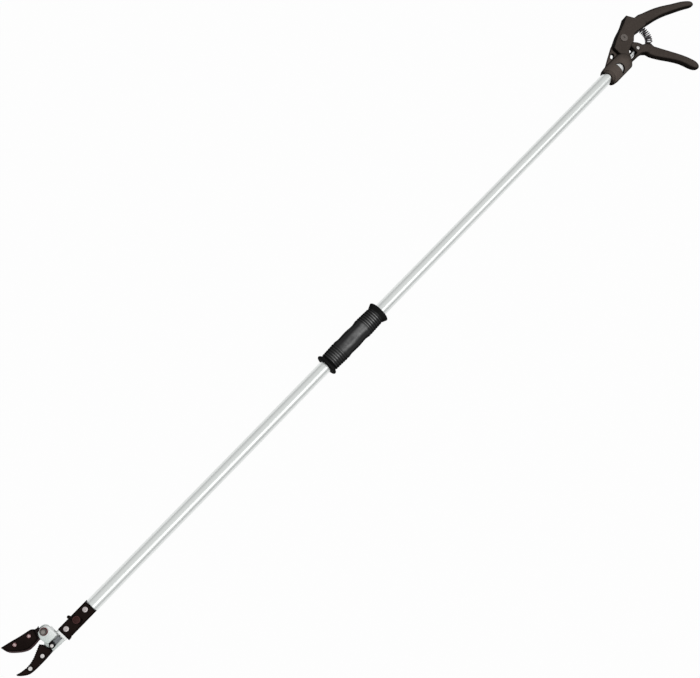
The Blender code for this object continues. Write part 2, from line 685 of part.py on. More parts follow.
def holder_outline():
    """Return the holding plate's outline: the blade's leaf, drawn in from the cutting edge."""
    tip = Vector((-BLADE_LENGTH, BLADE_TIP_RISE))
    edge = [Vector(point) for point in smooth(list(BLADE_EDGE[1:]) + [tuple(tip)])]
    drawn = []
    for i, point in enumerate(edge):
        ahead = (edge[min(i + 1, len(edge) - 1)] - edge[max(i - 1, 0)]).normalized()
        inward = Vector((ahead.y, -ahead.x))
        fade = min(1.0, (point - tip).length / 0.016)
        drawn.append(tuple(point + inward * HOLDER_MARGIN * fade * 0.8))
    back = smooth([tuple(tip)] + list(BLADE_BACK))
    return drawn[:-1] + back


def make_blade(frame):
    """Make the moving blade with its hub and crank."""
    blade = add_mesh("cutting_blade", plate_mesh("cutting_blade", blade_outline(), -BLADE_FACE, BLADE_FACE),
                     frame, finish="blade_coating")
    hub_hole = drum_mesh("blade_hub_hole", PIVOT_BOLT_DIAMETER / 2 + SEAT_GAP, -0.01, 0.01, 24)
    cut(blade, add_mesh("blade_hub_hole", hub_hole, frame))
    eye = (CRANK_PIN[0], CRANK_PIN[1] - BLADE_PIVOT_HEIGHT, 0.0)
    hole = drum_mesh("crank_eye_hole", CRANK_EYE_BORE / 2, -0.01, 0.01)
    cut(blade, add_mesh("crank_eye_hole", hole, frame, eye))
    for i, spot in enumerate(HOLDER_RIVETS):
        hole = drum_mesh(f"blade_rivet_hole_{i}", HOLDER_RIVET_SHANK / 2 + SEAT_GAP, -0.01, 0.01)
        cut(blade, add_mesh(f"blade_rivet_hole_{i}", hole, frame, (*spot, 0.0)))
    cut(blade, blade_bevel(frame))
    return blade


def blade_bevel(frame):
    """Make the long wedge that grinds the cutting edge from above."""
    edge = smooth([BLADE_EDGE[i] for i in range(1, len(BLADE_EDGE))] + [(-BLADE_LENGTH, BLADE_TIP_RISE)], 3)
    points = [Vector(point) for point in edge]
    points.insert(0, points[0] * 2 - points[1])
    points.append(points[-1] * 2 - points[-2])
    mesh = bpy.data.meshes.new("blade_bevel")
    shape = bmesh.new()
    rows = []
    for i, point in enumerate(points):
        ahead = (points[min(i + 1, len(points) - 1)] - points[max(i - 1, 0)]).normalized()
        outward = Vector((-ahead.y, ahead.x))
        inner = point - outward * EDGE_BEVEL_WIDTH
        outer = point + outward * EDGE_BEVEL_WIDTH
        slope = BLADE_THICKNESS - EDGE_LAND
        rows.append([shape.verts.new((inner.x, inner.y, BLADE_FACE)),
                     shape.verts.new((outer.x, outer.y, BLADE_FACE - 2 * slope)),
                     shape.verts.new((outer.x, outer.y, BLADE_FACE + CUT_THROUGH)),
                     shape.verts.new((inner.x, inner.y, BLADE_FACE + CUT_THROUGH))])
    for lower, upper in zip(rows, rows[1:]):
        for k in range(4):
            nxt = (k + 1) % 4
            shape.faces.new((lower[k], lower[nxt], upper[nxt], upper[k]))
    shape.faces.new(list(reversed(rows[0])))
    shape.faces.new(rows[-1])
    bmesh.ops.recalc_face_normals(shape, faces=shape.faces)
    shape.to_mesh(mesh)
    shape.free()
    return add_mesh("blade_bevel", mesh, frame)


def make_holder(frame):
    """Make the holding plate that grips a cut stem, and its two rivets."""
    low = BLADE_FACE + SEAT_GAP
    plate = plate_mesh("blade_holder", holder_outline(), low, low + HOLDER_THICKNESS)
    holder = add_mesh("blade_holder", plate, frame, finish="black_paint")
    for i, spot in enumerate(HOLDER_RIVETS):
        hole = drum_mesh(f"holder_hole_{i}", HOLDER_RIVET_SHANK / 2 + SEAT_GAP, -0.01, 0.01)
        cut(holder, add_mesh(f"holder_hole_{i}", hole, frame, (*spot, 0.0)))
    for name, spot in zip(("blade_rivet_front", "blade_rivet_rear"), HOLDER_RIVETS):
        top = HOLDER_TOP + SEAT_GAP + 0.0010
        foot = -BLADE_FACE + 0.0001
        profile = pin_profile(HOLDER_RIVET_HEAD / 2, 0.0010, HOLDER_RIVET_SHANK / 2, top, foot)
        add_mesh(name, turned_mesh(name, profile, SMALL_ROUND_STEPS), frame, (*spot, 0.0), "rivet_steel")
    washer = turned_mesh("hub_washer", [
        (PIVOT_BOLT_DIAMETER / 2 + SEAT_GAP, CHEEK_UNDER - SEAT_GAP),
        (BLADE_HUB_RADIUS, CHEEK_UNDER - SEAT_GAP),
        (BLADE_HUB_RADIUS, low), (PIVOT_BOLT_DIAMETER / 2 + SEAT_GAP, low)], 24)
    add_mesh("hub_washer", washer, frame, finish="zinc")


def hook_outline():
    """Return the hooked jaw's outline, with teeth along its holding edge."""
    tip = (-HOOK_REACH, HOOK_TIP_HEIGHT)
    edge = [(-HOOK_REACH * along, height) for along, height in HOOK_EDGE]
    lead = smooth([tip] + edge[:2])
    teeth = toothed(smooth(edge[1:]), HOOK_TOOTH_PITCH, HOOK_TOOTH_DEPTH)
    heel = smooth(list(HOOK_HEEL), 2)
    back = smooth([(-HOOK_REACH * along, height) for along, height in HOOK_BACK] + [tip])
    return lead[:-1] + teeth + heel + back[:-1]


def make_hook(frame):
    """Make the hooked jaw and the two flush rivets that hold it on the body."""
    plate = plate_mesh("hook_jaw", hook_outline(), HOOK_TOP - HOOK_THICKNESS, HOOK_TOP)
    hook = add_mesh("hook_jaw", plate, frame, finish="black_paint")
    for i, spot in enumerate(HOOK_RIVETS):
        hole = turned_mesh(f"hook_hole_{i}", [
            (0.0, 0.01), (HOOK_RIVET_HEAD / 2 + SEAT_GAP, 0.01),
            (HOOK_RIVET_HEAD / 2 + SEAT_GAP, HOOK_TOP - HOOK_RIVET_SINK - SEAT_GAP),
            (HOOK_RIVET_SHANK / 2 + SEAT_GAP, HOOK_TOP - HOOK_RIVET_SINK - SEAT_GAP),
            (HOOK_RIVET_SHANK / 2 + SEAT_GAP, -0.02), (0.0, -0.02)], SMALL_ROUND_STEPS)
        cut(hook, add_mesh(f"hook_hole_{i}", hole, frame, (*spot, 0.0)))
    for name, spot in zip(("hook_rivet_front", "hook_rivet_rear"), HOOK_RIVETS):
        under = BODY_PLATE_UNDER - SEAT_GAP
        profile = [(0.0, HOOK_TOP - 0.0001), (HOOK_RIVET_HEAD / 2, HOOK_TOP - 0.0001),
                   (HOOK_RIVET_HEAD / 2, HOOK_TOP - HOOK_RIVET_SINK),
                   (HOOK_RIVET_SHANK / 2, HOOK_TOP - HOOK_RIVET_SINK), (HOOK_RIVET_SHANK / 2, under),
                   (HOOK_RIVET_HEAD / 2, under), (HOOK_RIVET_HEAD / 2, under - 0.0005),
                   (HOOK_RIVET_HEAD / 3, under - 0.0012), (0.0, under - 0.0012)]
        add_mesh(name, turned_mesh(name, profile, SMALL_ROUND_STEPS), frame, (*spot, 0.0), "rivet_steel")


def make_body(frame):
    """Make the cast head body: neck, plate, tongue under the jaw, and the cheek over the blade's hub."""
    half = BLOCK_HALF_WIDTH
    pivot = (0.0, BLADE_PIVOT_HEIGHT)
    low_side = BRACKET_OFFSET - half
    high_side = BRACKET_OFFSET + half
    joint = NECK_FRONT + 0.0040
    plate = list(TONGUE) + [(0.0, -0.0074), (joint, low_side + 0.0004), (joint, high_side - 0.0004)]
    plate += [(0.0106, 0.0120), (0.0102, 0.0200)] + arc(pivot, 0.0090, -10.0, 190.0, 12) + [(-0.0092, 0.0150)]
    body = add_mesh("head_body", plate_mesh("head_body", plate, BODY_PLATE_UNDER, BODY_PLATE_TOP, 0.0006, 1),
                    frame, finish="cast_silver")
    neck = box_mesh("neck", (NECK_FRONT, low_side, BODY_PLATE_UNDER + 0.0001),
                    (NECK_FRONT + NECK_LENGTH, high_side, BLOCK_TOP))
    join(body, add_mesh("neck", neck, frame))
    boss = drum_mesh("boss", BODY_BOSS_RADIUS, BODY_PLATE_UNDER + 0.0010, HOOK_TOP, 28)
    join(body, add_mesh("boss", boss, frame, (*pivot, 0.0)))
    crown = arc(CHEEK_CROWN, CHEEK_CROWN_RADIUS, 0.0, 118.0, 12)
    right = CHEEK_CROWN[0] + CHEEK_CROWN_RADIUS
    outline = [(right, CHEEK_FOOT)] + crown + smooth(list(CHEEK_LEFT))
    cheek = plate_mesh("cheek", outline, CHEEK_UNDER, CHEEK_TOP, 0.0005, 1)
    join(body, add_mesh("cheek", cheek, frame))
    web = box_mesh("cheek_web", (right - CHEEK_WEB_THICKNESS, 0.0145, BODY_PLATE_UNDER + 0.0005),
                   (right - 0.0003, 0.0226, CHEEK_TOP - 0.0006))
    join(body, add_mesh("cheek_web", web, frame))
    pocket_low = CRANK_PIN[1] - CLEVIS_WIDTH / 2 - 2 * ROD_GAP
    pocket_high = CRANK_PIN[1] + CLEVIS_WIDTH / 2 + 1.5 * ROD_GAP
    pocket = box_mesh("neck_pocket", (NECK_FRONT - 0.01, pocket_low, -EAR_TOP - SLIDE_GAP),
                      (NECK_FRONT + NECK_LENGTH + 0.01, pocket_high, EAR_TOP + SLIDE_GAP))
    cut(body, add_mesh("neck_pocket", pocket, frame))
    bolt_hole = drum_mesh("body_bolt_hole", PIVOT_BOLT_DIAMETER / 2 + SEAT_GAP, -0.02, 0.02, 24)
    cut(body, add_mesh("body_bolt_hole", bolt_hole, frame, (*pivot, 0.0)))
    for i, spot in enumerate(HOOK_RIVETS):
        hole = drum_mesh(f"tongue_hole_{i}", HOOK_RIVET_SHANK / 2 + SEAT_GAP, -0.02, 0.0)
        cut(body, add_mesh(f"tongue_hole_{i}", hole, frame, (*spot, 0.0)))
    screw_hole = drum_mesh("neck_screw_hole", SCREW_SHANK_DIAMETER / 2 + SEAT_GAP,
                           BRACKET_TOP - BRACKET_WALL - SCREW_DEPTH - SEAT_GAP, 0.02)
    cut(body, add_mesh("neck_screw_hole", screw_hole, frame, (NECK_SCREW_FROM_BLADE, FASTENER_LINE, 0.0)))
    return body


def make_pivot_bolt(frame):
    """Make the bolt that the blade turns on, with its washer and nut on the near side."""
    shank = PIVOT_BOLT_DIAMETER / 2
    head_top = BODY_PLATE_UNDER - SEAT_GAP
    washer_low = CHEEK_TOP + SEAT_GAP
    nut_low = washer_low + PIVOT_WASHER_THICKNESS + SEAT_GAP
    nut_top = nut_low + PIVOT_NUT_HEIGHT
    end = nut_top + PIVOT_BOLT_PROUD
    profile = [(0.0, end), (shank - 0.0010, end), (shank, end - 0.0008), (shank, head_top),
               (PIVOT_HEAD_DIAMETER / 2, head_top),
               (PIVOT_HEAD_DIAMETER / 2, head_top - PIVOT_HEAD_HEIGHT * 0.6),
               (PIVOT_HEAD_DIAMETER * 0.32, head_top - PIVOT_HEAD_HEIGHT),
               (0.0, head_top - PIVOT_HEAD_HEIGHT)]
    add_mesh("pivot_bolt", turned_mesh("pivot_bolt", profile, 24), frame, finish="zinc")
    ring = [(shank + SEAT_GAP, washer_low + PIVOT_WASHER_THICKNESS),
            (PIVOT_WASHER_DIAMETER / 2 - 0.0003, washer_low + PIVOT_WASHER_THICKNESS),
            (PIVOT_WASHER_DIAMETER / 2, washer_low + PIVOT_WASHER_THICKNESS - 0.0003),
            (PIVOT_WASHER_DIAMETER / 2, washer_low), (shank + SEAT_GAP, washer_low)]
    add_mesh("pivot_washer", turned_mesh("pivot_washer", ring, 28), frame, finish="red_washer")
    add_nut("pivot_nut", frame, PIVOT_NUT_ACROSS_FLATS, shank + SEAT_GAP, nut_low, nut_top, "zinc")


def add_nut(name, frame, across_flats, bore, low, high, finish, location=(0.0, 0.0, 0.0),
            rotation=(0.0, 0.0, 0.0)):
    """Make a hexagonal nut with rounded corners and a plain bore."""
    corner = across_flats / 2 / math.cos(math.pi / 6)
    prism = drum_mesh(name, corner, low, high, 6, math.radians(15.0))
    nut = add_mesh(name, prism, frame, location, finish, rotation)
    chamfer = turned_mesh(name + "_chamfer", [
        (0.0, high + 0.0004), (across_flats / 2 - 0.0002, high + 0.0004),
        (corner + 0.0004, high - corner * 0.16), (corner + 0.0004, low + corner * 0.16),
        (across_flats / 2 - 0.0002, low - 0.0004), (0.0, low - 0.0004)], 24)
    combine(nut, add_mesh(name + "_chamfer", chamfer, frame, location, rotation=rotation), "INTERSECT")
    hole = drum_mesh(name + "_bore", bore, low - CUT_THROUGH, high + CUT_THROUGH)
    cut(nut, add_mesh(name + "_bore", hole, frame, location, rotation=rotation))
    return nut


def make_bracket(frame):
    """Make the folded bracket that joins the head to the tube, with its screws."""
    right = BLADE_PIVOT_TO_TUBE - 2 * SEAT_GAP
    left = right - BRACKET_LENGTH
    low_side = BRACKET_OFFSET - BRACKET_WIDTH / 2
    high_side = BRACKET_OFFSET + BRACKET_WIDTH / 2
    lip = low_side - BRACKET_LIP
    outline = [(left, high_side), (left, lip), (left + BRACKET_LIP_LENGTH * 0.35, lip),
               (left + BRACKET_LIP_LENGTH, low_side), (right, low_side), (right, high_side)]
    plate = plate_mesh("head_bracket", outline, BRACKET_TOP - BRACKET_SKIRT, BRACKET_TOP)
    bracket = add_mesh("head_bracket", plate, frame, finish="black_paint")
    hollow = box_mesh("bracket_hollow", (left - 0.01, low_side + BRACKET_WALL, -0.04),
                      (right + 0.01, high_side - BRACKET_WALL, BRACKET_INSIDE_TOP))
    cut(bracket, add_mesh("bracket_hollow", hollow, frame))
    tube_screw = BLADE_PIVOT_TO_TUBE - TUBE_SCREW_INSET
    holes = (("neck_screw", NECK_SCREW_FROM_BLADE, FASTENER_LINE, SCREW_SHANK_DIAMETER),
             ("tube_screw", tube_screw, FASTENER_LINE, SCREW_SHANK_DIAMETER),
             ("lock", LOCK_FROM_BLADE, LOCK_LINE, LOCK_SHAFT_DIAMETER))
    for name, x, y, diameter in holes:
        hole = drum_mesh(name + "_bracket_hole", diameter / 2 + SEAT_GAP, BRACKET_INSIDE_TOP - 0.002, 0.02)
        cut(bracket, add_mesh(name + "_bracket_hole", hole, frame, (x, y, 0.0)))
    for name, x in (("neck_screw", NECK_SCREW_FROM_BLADE), ("tube_screw", tube_screw)):
        top = BRACKET_TOP + SEAT_GAP + SCREW_HEAD_HEIGHT
        bottom = BRACKET_INSIDE_TOP - SCREW_DEPTH
        profile = pin_profile(SCREW_HEAD_DIAMETER / 2, SCREW_HEAD_HEIGHT, SCREW_SHANK_DIAMETER / 2, top,
                              bottom)
        screw = add_mesh(name, turned_mesh(name, profile, 24), frame, (x, FASTENER_LINE, 0.0), "rivet_steel")
        for i, turn in enumerate((0.0, math.pi / 2)):
            bar = f"{name}_slot_{i}"
            slot = box_mesh(bar, (-0.0022, -0.0005, top - 0.0011), (0.0022, 0.0005, top + 0.001))
            cut(screw, add_mesh(bar, slot, frame, (x, FASTENER_LINE, 0.0), rotation=(0.0, 0.0, turn)))


def make_tube_block(frame):
    """Make the block that plugs the tube's head end and is screwed into the bracket."""
    half = BLOCK_HALF_WIDTH
    right = BLADE_PIVOT_TO_TUBE - SEAT_GAP
    mesh = box_mesh("tube_block", (right - TUBE_BLOCK_LENGTH, BRACKET_OFFSET - half, BODY_PLATE_UNDER),
                    (right, BRACKET_OFFSET + half, BLOCK_TOP))
    block = add_mesh("tube_block", mesh, frame, finish="cast_silver")
    bore = TUBE_BORE - SEAT_GAP
    spigot = turned_mesh("spigot", [(0.0, TUBE_SPIGOT_LENGTH), (bore, TUBE_SPIGOT_LENGTH), (bore, 0.0),
                                    (half * 0.9, 0.0), (half * 0.9, -0.002), (0.0, -0.002)])
    join(block, add_mesh("spigot", spigot, frame, (right, 0.0, 0.0), rotation=(0.0, math.pi / 2, 0.0)))
    bore = drum_mesh("block_bore", TUBE_BLOCK_BORE / 2, -0.03, 0.04, 24)
    cut(block, add_mesh("block_bore", bore, frame, (right, 0.0008, 0.0), rotation=(0.0, math.pi / 2, 0.0)))
    hole = drum_mesh("block_screw_hole", SCREW_SHANK_DIAMETER / 2 + SEAT_GAP,
                     BRACKET_INSIDE_TOP - SCREW_DEPTH - SEAT_GAP, 0.02)
    cut(block, add_mesh("block_screw_hole", hole, frame,
                        (BLADE_PIVOT_TO_TUBE - TUBE_SCREW_INSET, FASTENER_LINE, 0.0)))


def make_lock(frame):
    """Make the lock lever on the bracket, its button with the shaft, and the catch that stops the rod."""
    low = BRACKET_TOP + SEAT_GAP
    high = low + LOCK_LEVER_THICKNESS
    tab = LOCK_TAB_WIDTH / 2
    bar = LOCK_BAR_WIDTH / 2
    outline = [(-LOCK_TAIL_LENGTH, -bar * 0.7), (0.0, -bar)] + smooth([(0.0040, -bar), (0.0080, -tab),
                                                                     (LOCK_TAB_LENGTH - tab, -tab)], 3)
    outline += arc((LOCK_TAB_LENGTH - tab, 0.0), tab, -75.0, 75.0, 6)
    outline += smooth([(LOCK_TAB_LENGTH - tab, tab), (0.0080, tab), (0.0040, bar)], 3)
    outline += [(0.0, bar), (-LOCK_TAIL_LENGTH, bar * 0.7)]
    turn = math.radians(LOCK_REST_ANGLE)
    lever = add_mesh("lock_lever", plate_mesh("lock_lever", outline, low, high, 0.0004, 1), frame,
                     finish="black_paint", rotation=(0.0, 0.0, turn))
    hole = drum_mesh("lock_lever_hole", LOCK_SHAFT_DIAMETER / 2 + SEAT_GAP, 0.0, 0.03)
    cut(lever, add_mesh("lock_lever_hole", hole, frame))
    catch_top = BRACKET_INSIDE_TOP - SEAT_GAP
    catch_low = ROD_COLLAR_DIAMETER / 2 + SLIDE_GAP
    head = LOCK_BUTTON_DIAMETER / 2
    top = high + SEAT_GAP + LOCK_BUTTON_HEIGHT
    profile = [(0.0, top - 0.0004), (head * 0.45, top), (head * 0.80, top - 0.0006), (head, top - 0.0018),
               (head, high + SEAT_GAP), (LOCK_SHAFT_DIAMETER / 2, high + SEAT_GAP),
               (LOCK_SHAFT_DIAMETER / 2, catch_low), (0.0, catch_low)]
    add_mesh("lock_button", turned_mesh("lock_button", profile, 24), frame, finish="button_brown")
    shaft = LOCK_SHAFT_DIAMETER / 2
    ring = shaft + SEAT_GAP + 0.0012
    outline = arc((0.0, 0.0), ring, 0.0, 180.0, 8)
    outline += arc((0.0, -LOCK_PIN_REACH), LOCK_PIN_RADIUS, 180.0, 360.0, 8)
    catch = add_mesh("lock_catch", plate_mesh("lock_catch", outline, catch_low + 0.0002, catch_top), frame,
                     finish="dark_steel")
    pin = drum_mesh("catch_pin", LOCK_PIN_RADIUS * 0.98, LOCK_PIN_LOW, catch_top - 0.0005, 16)
    join(catch, add_mesh("catch_pin", pin, frame, (0.0, -LOCK_PIN_REACH, 0.0)))
    hole = drum_mesh("catch_hole", shaft + SEAT_GAP, 0.0, 0.03)
    cut(catch, add_mesh("catch_hole", hole, frame))


def make_rod(frame):
    """Make the pull rod, its stop collar, the eye and nuts at the trigger, and the clevis at the blade."""
    rod_start = -ROD_EYE_NECK_LENGTH - SEAT_GAP
    rod_end = -ROD_SPAN + CLEVIS_SLOT_DEPTH + 0.0030
    along = (0.0, math.pi / 2, 0.0)
    radius = ROD_DIAMETER / 2
    profile = [(0.0, rod_start + 0.0070), (radius, rod_start + 0.0070), (radius, rod_end), (0.0, rod_end)]
    add_mesh("pull_rod", turned_mesh("pull_rod", profile, 16), frame, finish="zinc", rotation=along)

    ring = drum_mesh("rod_eye", ROD_EYE_RADIUS, -ROD_EYE_THICKNESS / 2, ROD_EYE_THICKNESS / 2, 24)
    eye = add_mesh("rod_eye", ring, frame, finish="zinc")
    neck = drum_mesh("rod_eye_neck", ROD_EYE_NECK_RADIUS, -ROD_EYE_NECK_LENGTH, -ROD_EYE_RADIUS * 0.7, 16)
    join(eye, add_mesh("rod_eye_neck", neck, frame, rotation=along))
    cut(eye, add_mesh("rod_eye_bore", drum_mesh("rod_eye_bore", ROD_EYE_BORE / 2, -0.01, 0.01), frame))
    socket = drum_mesh("rod_eye_socket", radius + SEAT_GAP, -0.03, rod_start + 0.0070 + SEAT_GAP, 16)
    cut(eye, add_mesh("rod_eye_socket", socket, frame, rotation=along))

    nut_top = -ROD_EYE_NECK_LENGTH - SEAT_GAP
    lock_low = nut_top - LOCK_NUT_HEIGHT
    bore = radius + SEAT_GAP
    add_nut("lock_nut", frame, ROD_NUT_ACROSS_FLATS, bore, lock_low, nut_top, "zinc", rotation=along)
    adjust_top = lock_low - SEAT_GAP
    adjust_low = adjust_top - ADJUSTING_NUT_HEIGHT
    add_nut("adjusting_nut", frame, ROD_NUT_ACROSS_FLATS, bore, adjust_low, adjust_top, "zinc",
            rotation=along)

    clevis_base = -ROD_SPAN + CLEVIS_LENGTH
    half = CLEVIS_WIDTH / 2
    outline = arc((-ROD_SPAN, 0.0), half, 90.0, 270.0, 10) + [(clevis_base, -half), (clevis_base, half)]
    block = plate_mesh("blade_clevis", outline, -EAR_TOP, EAR_TOP, 0.0004, 1)
    clevis = add_mesh("blade_clevis", block, frame, finish="dark_steel")
    slot_face = BLADE_FACE + SEAT_GAP
    slot = box_mesh("clevis_slot", (-ROD_SPAN - 0.01, -0.01, -slot_face),
                    (-ROD_SPAN + CLEVIS_SLOT_DEPTH, 0.01, slot_face))
    cut(clevis, add_mesh("clevis_slot", slot, frame))
    hole = drum_mesh("clevis_pin_hole", BLADE_PIN_DIAMETER / 2 + SEAT_GAP, -0.01, 0.01)
    cut(clevis, add_mesh("clevis_pin_hole", hole, frame, (-ROD_SPAN, 0.0, 0.0)))
    bore = drum_mesh("clevis_rod_bore", radius + SEAT_GAP, rod_end - SEAT_GAP, -ROD_SPAN + 0.03, 16)
    cut(clevis, add_mesh("clevis_rod_bore", bore, frame, rotation=along))

    top = EAR_TOP + SEAT_GAP + BLADE_PIN_HEAD_HEIGHT
    bottom = -EAR_TOP - BLADE_PIN_TAIL
    profile = pin_profile(BLADE_PIN_HEAD / 2, BLADE_PIN_HEAD_HEIGHT, BLADE_PIN_DIAMETER / 2, top, bottom)
    add_mesh("blade_pin", turned_mesh("blade_pin", profile, SMALL_ROUND_STEPS), frame, (-ROD_SPAN, 0.0, 0.0),
             "rivet_steel")
    clip_top = -EAR_TOP - SEAT_GAP
    bore = BLADE_PIN_DIAMETER / 2 + SEAT_GAP
    ring = [(bore, clip_top), (PIN_CLIP_DIAMETER / 2, clip_top),
            (PIN_CLIP_DIAMETER / 2, clip_top - PIN_CLIP_THICKNESS), (bore, clip_top - PIN_CLIP_THICKNESS)]
    add_mesh("blade_pin_clip", turned_mesh("blade_pin_clip", ring, SMALL_ROUND_STEPS), frame,
             (-ROD_SPAN, 0.0, 0.0), "dark_steel")

    collar_left = -ROD_SPAN + ROD_COLLAR_FROM_EYE
    bore = radius + SEAT_GAP
    ring = [(bore, collar_left + ROD_COLLAR_WIDTH), (ROD_COLLAR_DIAMETER / 2, collar_left + ROD_COLLAR_WIDTH),
            (ROD_COLLAR_DIAMETER / 2, collar_left), (bore, collar_left)]
    add_mesh("rod_collar", turned_mesh("rod_collar", ring, 24), frame, finish="dark_steel", rotation=along)


def make_rod_pin(frame):
    """Make the pin that joins the lever's fork to the rod's eye, with a head at each end."""
    face = LEVER_HALF_WIDTH + SEAT_GAP
    head = ROD_PIN_HEAD / 2
    shank = ROD_PIN_DIAMETER / 2
    end = face + ROD_PIN_HEAD_HEIGHT
    profile = [(0.0, end), (head * 0.6, end), (head, face + ROD_PIN_HEAD_HEIGHT * 0.5), (head, face),
               (shank, face), (shank, -face), (head, -face), (head, -face - ROD_PIN_HEAD_HEIGHT * 0.5),
               (head * 0.6, -end), (0.0, -end)]
    spot = (ROD_PIN[0], ROD_PIN[1] - TRIGGER_PIVOT_HEIGHT, 0.0)
    add_mesh("rod_pin", turned_mesh("rod_pin", profile, SMALL_ROUND_STEPS), frame, spot, "rivet_steel")


def lever_outline():
    """Return the flat of the trigger lever: hub, fork, spring seat and stop toe."""
    pivot = (0.0, TRIGGER_PIVOT_HEIGHT)
    hub = arc(pivot, LEVER_HUB_RADIUS, 205.0, -20.0, 14)
    front = smooth(list(LEVER_FRONT), 3)
    toe_end = CAVITY_ROOF[0][0] + TOE_END_GAP
    toe = [(toe_end, TOE_BOTTOM + TOE_ROUND), (toe_end, TOE_TOP - TOE_ROUND)]
    toe += [(toe_end + 2 * TOE_ROUND, TOE_TOP), (TOE_SHOULDER, TOE_TOP)]
    rear = smooth(list(LEVER_REAR), 3)
    outline = hub + front + list(SEAT_FACET) + list(LEVER_ROOT) + smooth(list(LEVER_HEEL), 3) + toe + rear
    return [(x, y - TRIGGER_PIVOT_HEIGHT) for x, y in outline]


def make_lever(frame):
    """Make the trigger lever with its fork for the rod, its spring peg and its hand grip."""
    half = LEVER_HALF_WIDTH
    plate = plate_mesh("trigger_lever", lever_outline(), -half, half, LEVER_EDGE_ROUND)
    lever = add_mesh("trigger_lever", plate, frame, finish="handle_paint")
    sections = []
    for x, y, tall, wide in TRIGGER_HANDLE:
        sections.append((x, y - TRIGGER_PIVOT_HEIGHT, tall, wide, LEVER_SQUARENESS))
    join(lever, add_mesh("trigger_handle", loft_mesh("trigger_handle", smooth_sections(sections)), frame))
    facet = [Vector((x, y - TRIGGER_PIVOT_HEIGHT)) for x, y in SEAT_FACET]
    middle = (facet[0] + facet[1]) / 2
    down = (facet[1] - facet[0]).normalized()
    outward = math.atan2(down.x, -down.y)
    peg = drum_mesh("lever_peg", SPRING_PEG_RADIUS, -SPRING_PEG_LENGTH * 0.7, SPRING_PEG_LENGTH)
    join(lever, add_mesh("lever_peg", peg, frame, (*middle, 0.0), rotation=(0.0, math.pi / 2, outward)))
    pin = (ROD_PIN[0], ROD_PIN[1] - TRIGGER_PIVOT_HEIGHT)
    fork = arc(pin, FORK_ROOT_RADIUS, -100.0, 62.0, 12)
    fork += [polar(FORK_REACH, 140.0, pin), polar(FORK_REACH, 192.0, pin), polar(FORK_REACH, 203.0, pin)]
    slot = plate_mesh("lever_fork", fork, -FORK_HALF_WIDTH, FORK_HALF_WIDTH)
    cut(lever, add_mesh("lever_fork", slot, frame))
    hole = drum_mesh("lever_pin_hole", ROD_PIN_DIAMETER / 2 + SEAT_GAP, -0.02, 0.02)
    cut(lever, add_mesh("lever_pin_hole", hole, frame, (*pin, 0.0)))
    hole = drum_mesh("lever_hub_hole", TRIGGER_RIVET_DIAMETER / 2 + SEAT_GAP, -0.02, 0.02, 24)
    cut(lever, add_mesh("lever_hub_hole", hole, frame))


def window_outline():
    """Return the half-moon window in the collar, with its straight side toward the mouth."""
    half = WINDOW_HEIGHT / 2
    radius = (half * half + WINDOW_WIDTH * WINDOW_WIDTH) / (2 * WINDOW_WIDTH)
    centre = (WINDOW_CHORD + WINDOW_WIDTH - radius, WINDOW_CENTRE_HEIGHT)
    spread = math.degrees(math.asin(half / radius)) if WINDOW_WIDTH < radius else 90.0
    return arc(centre, radius, -spread, spread, 12)


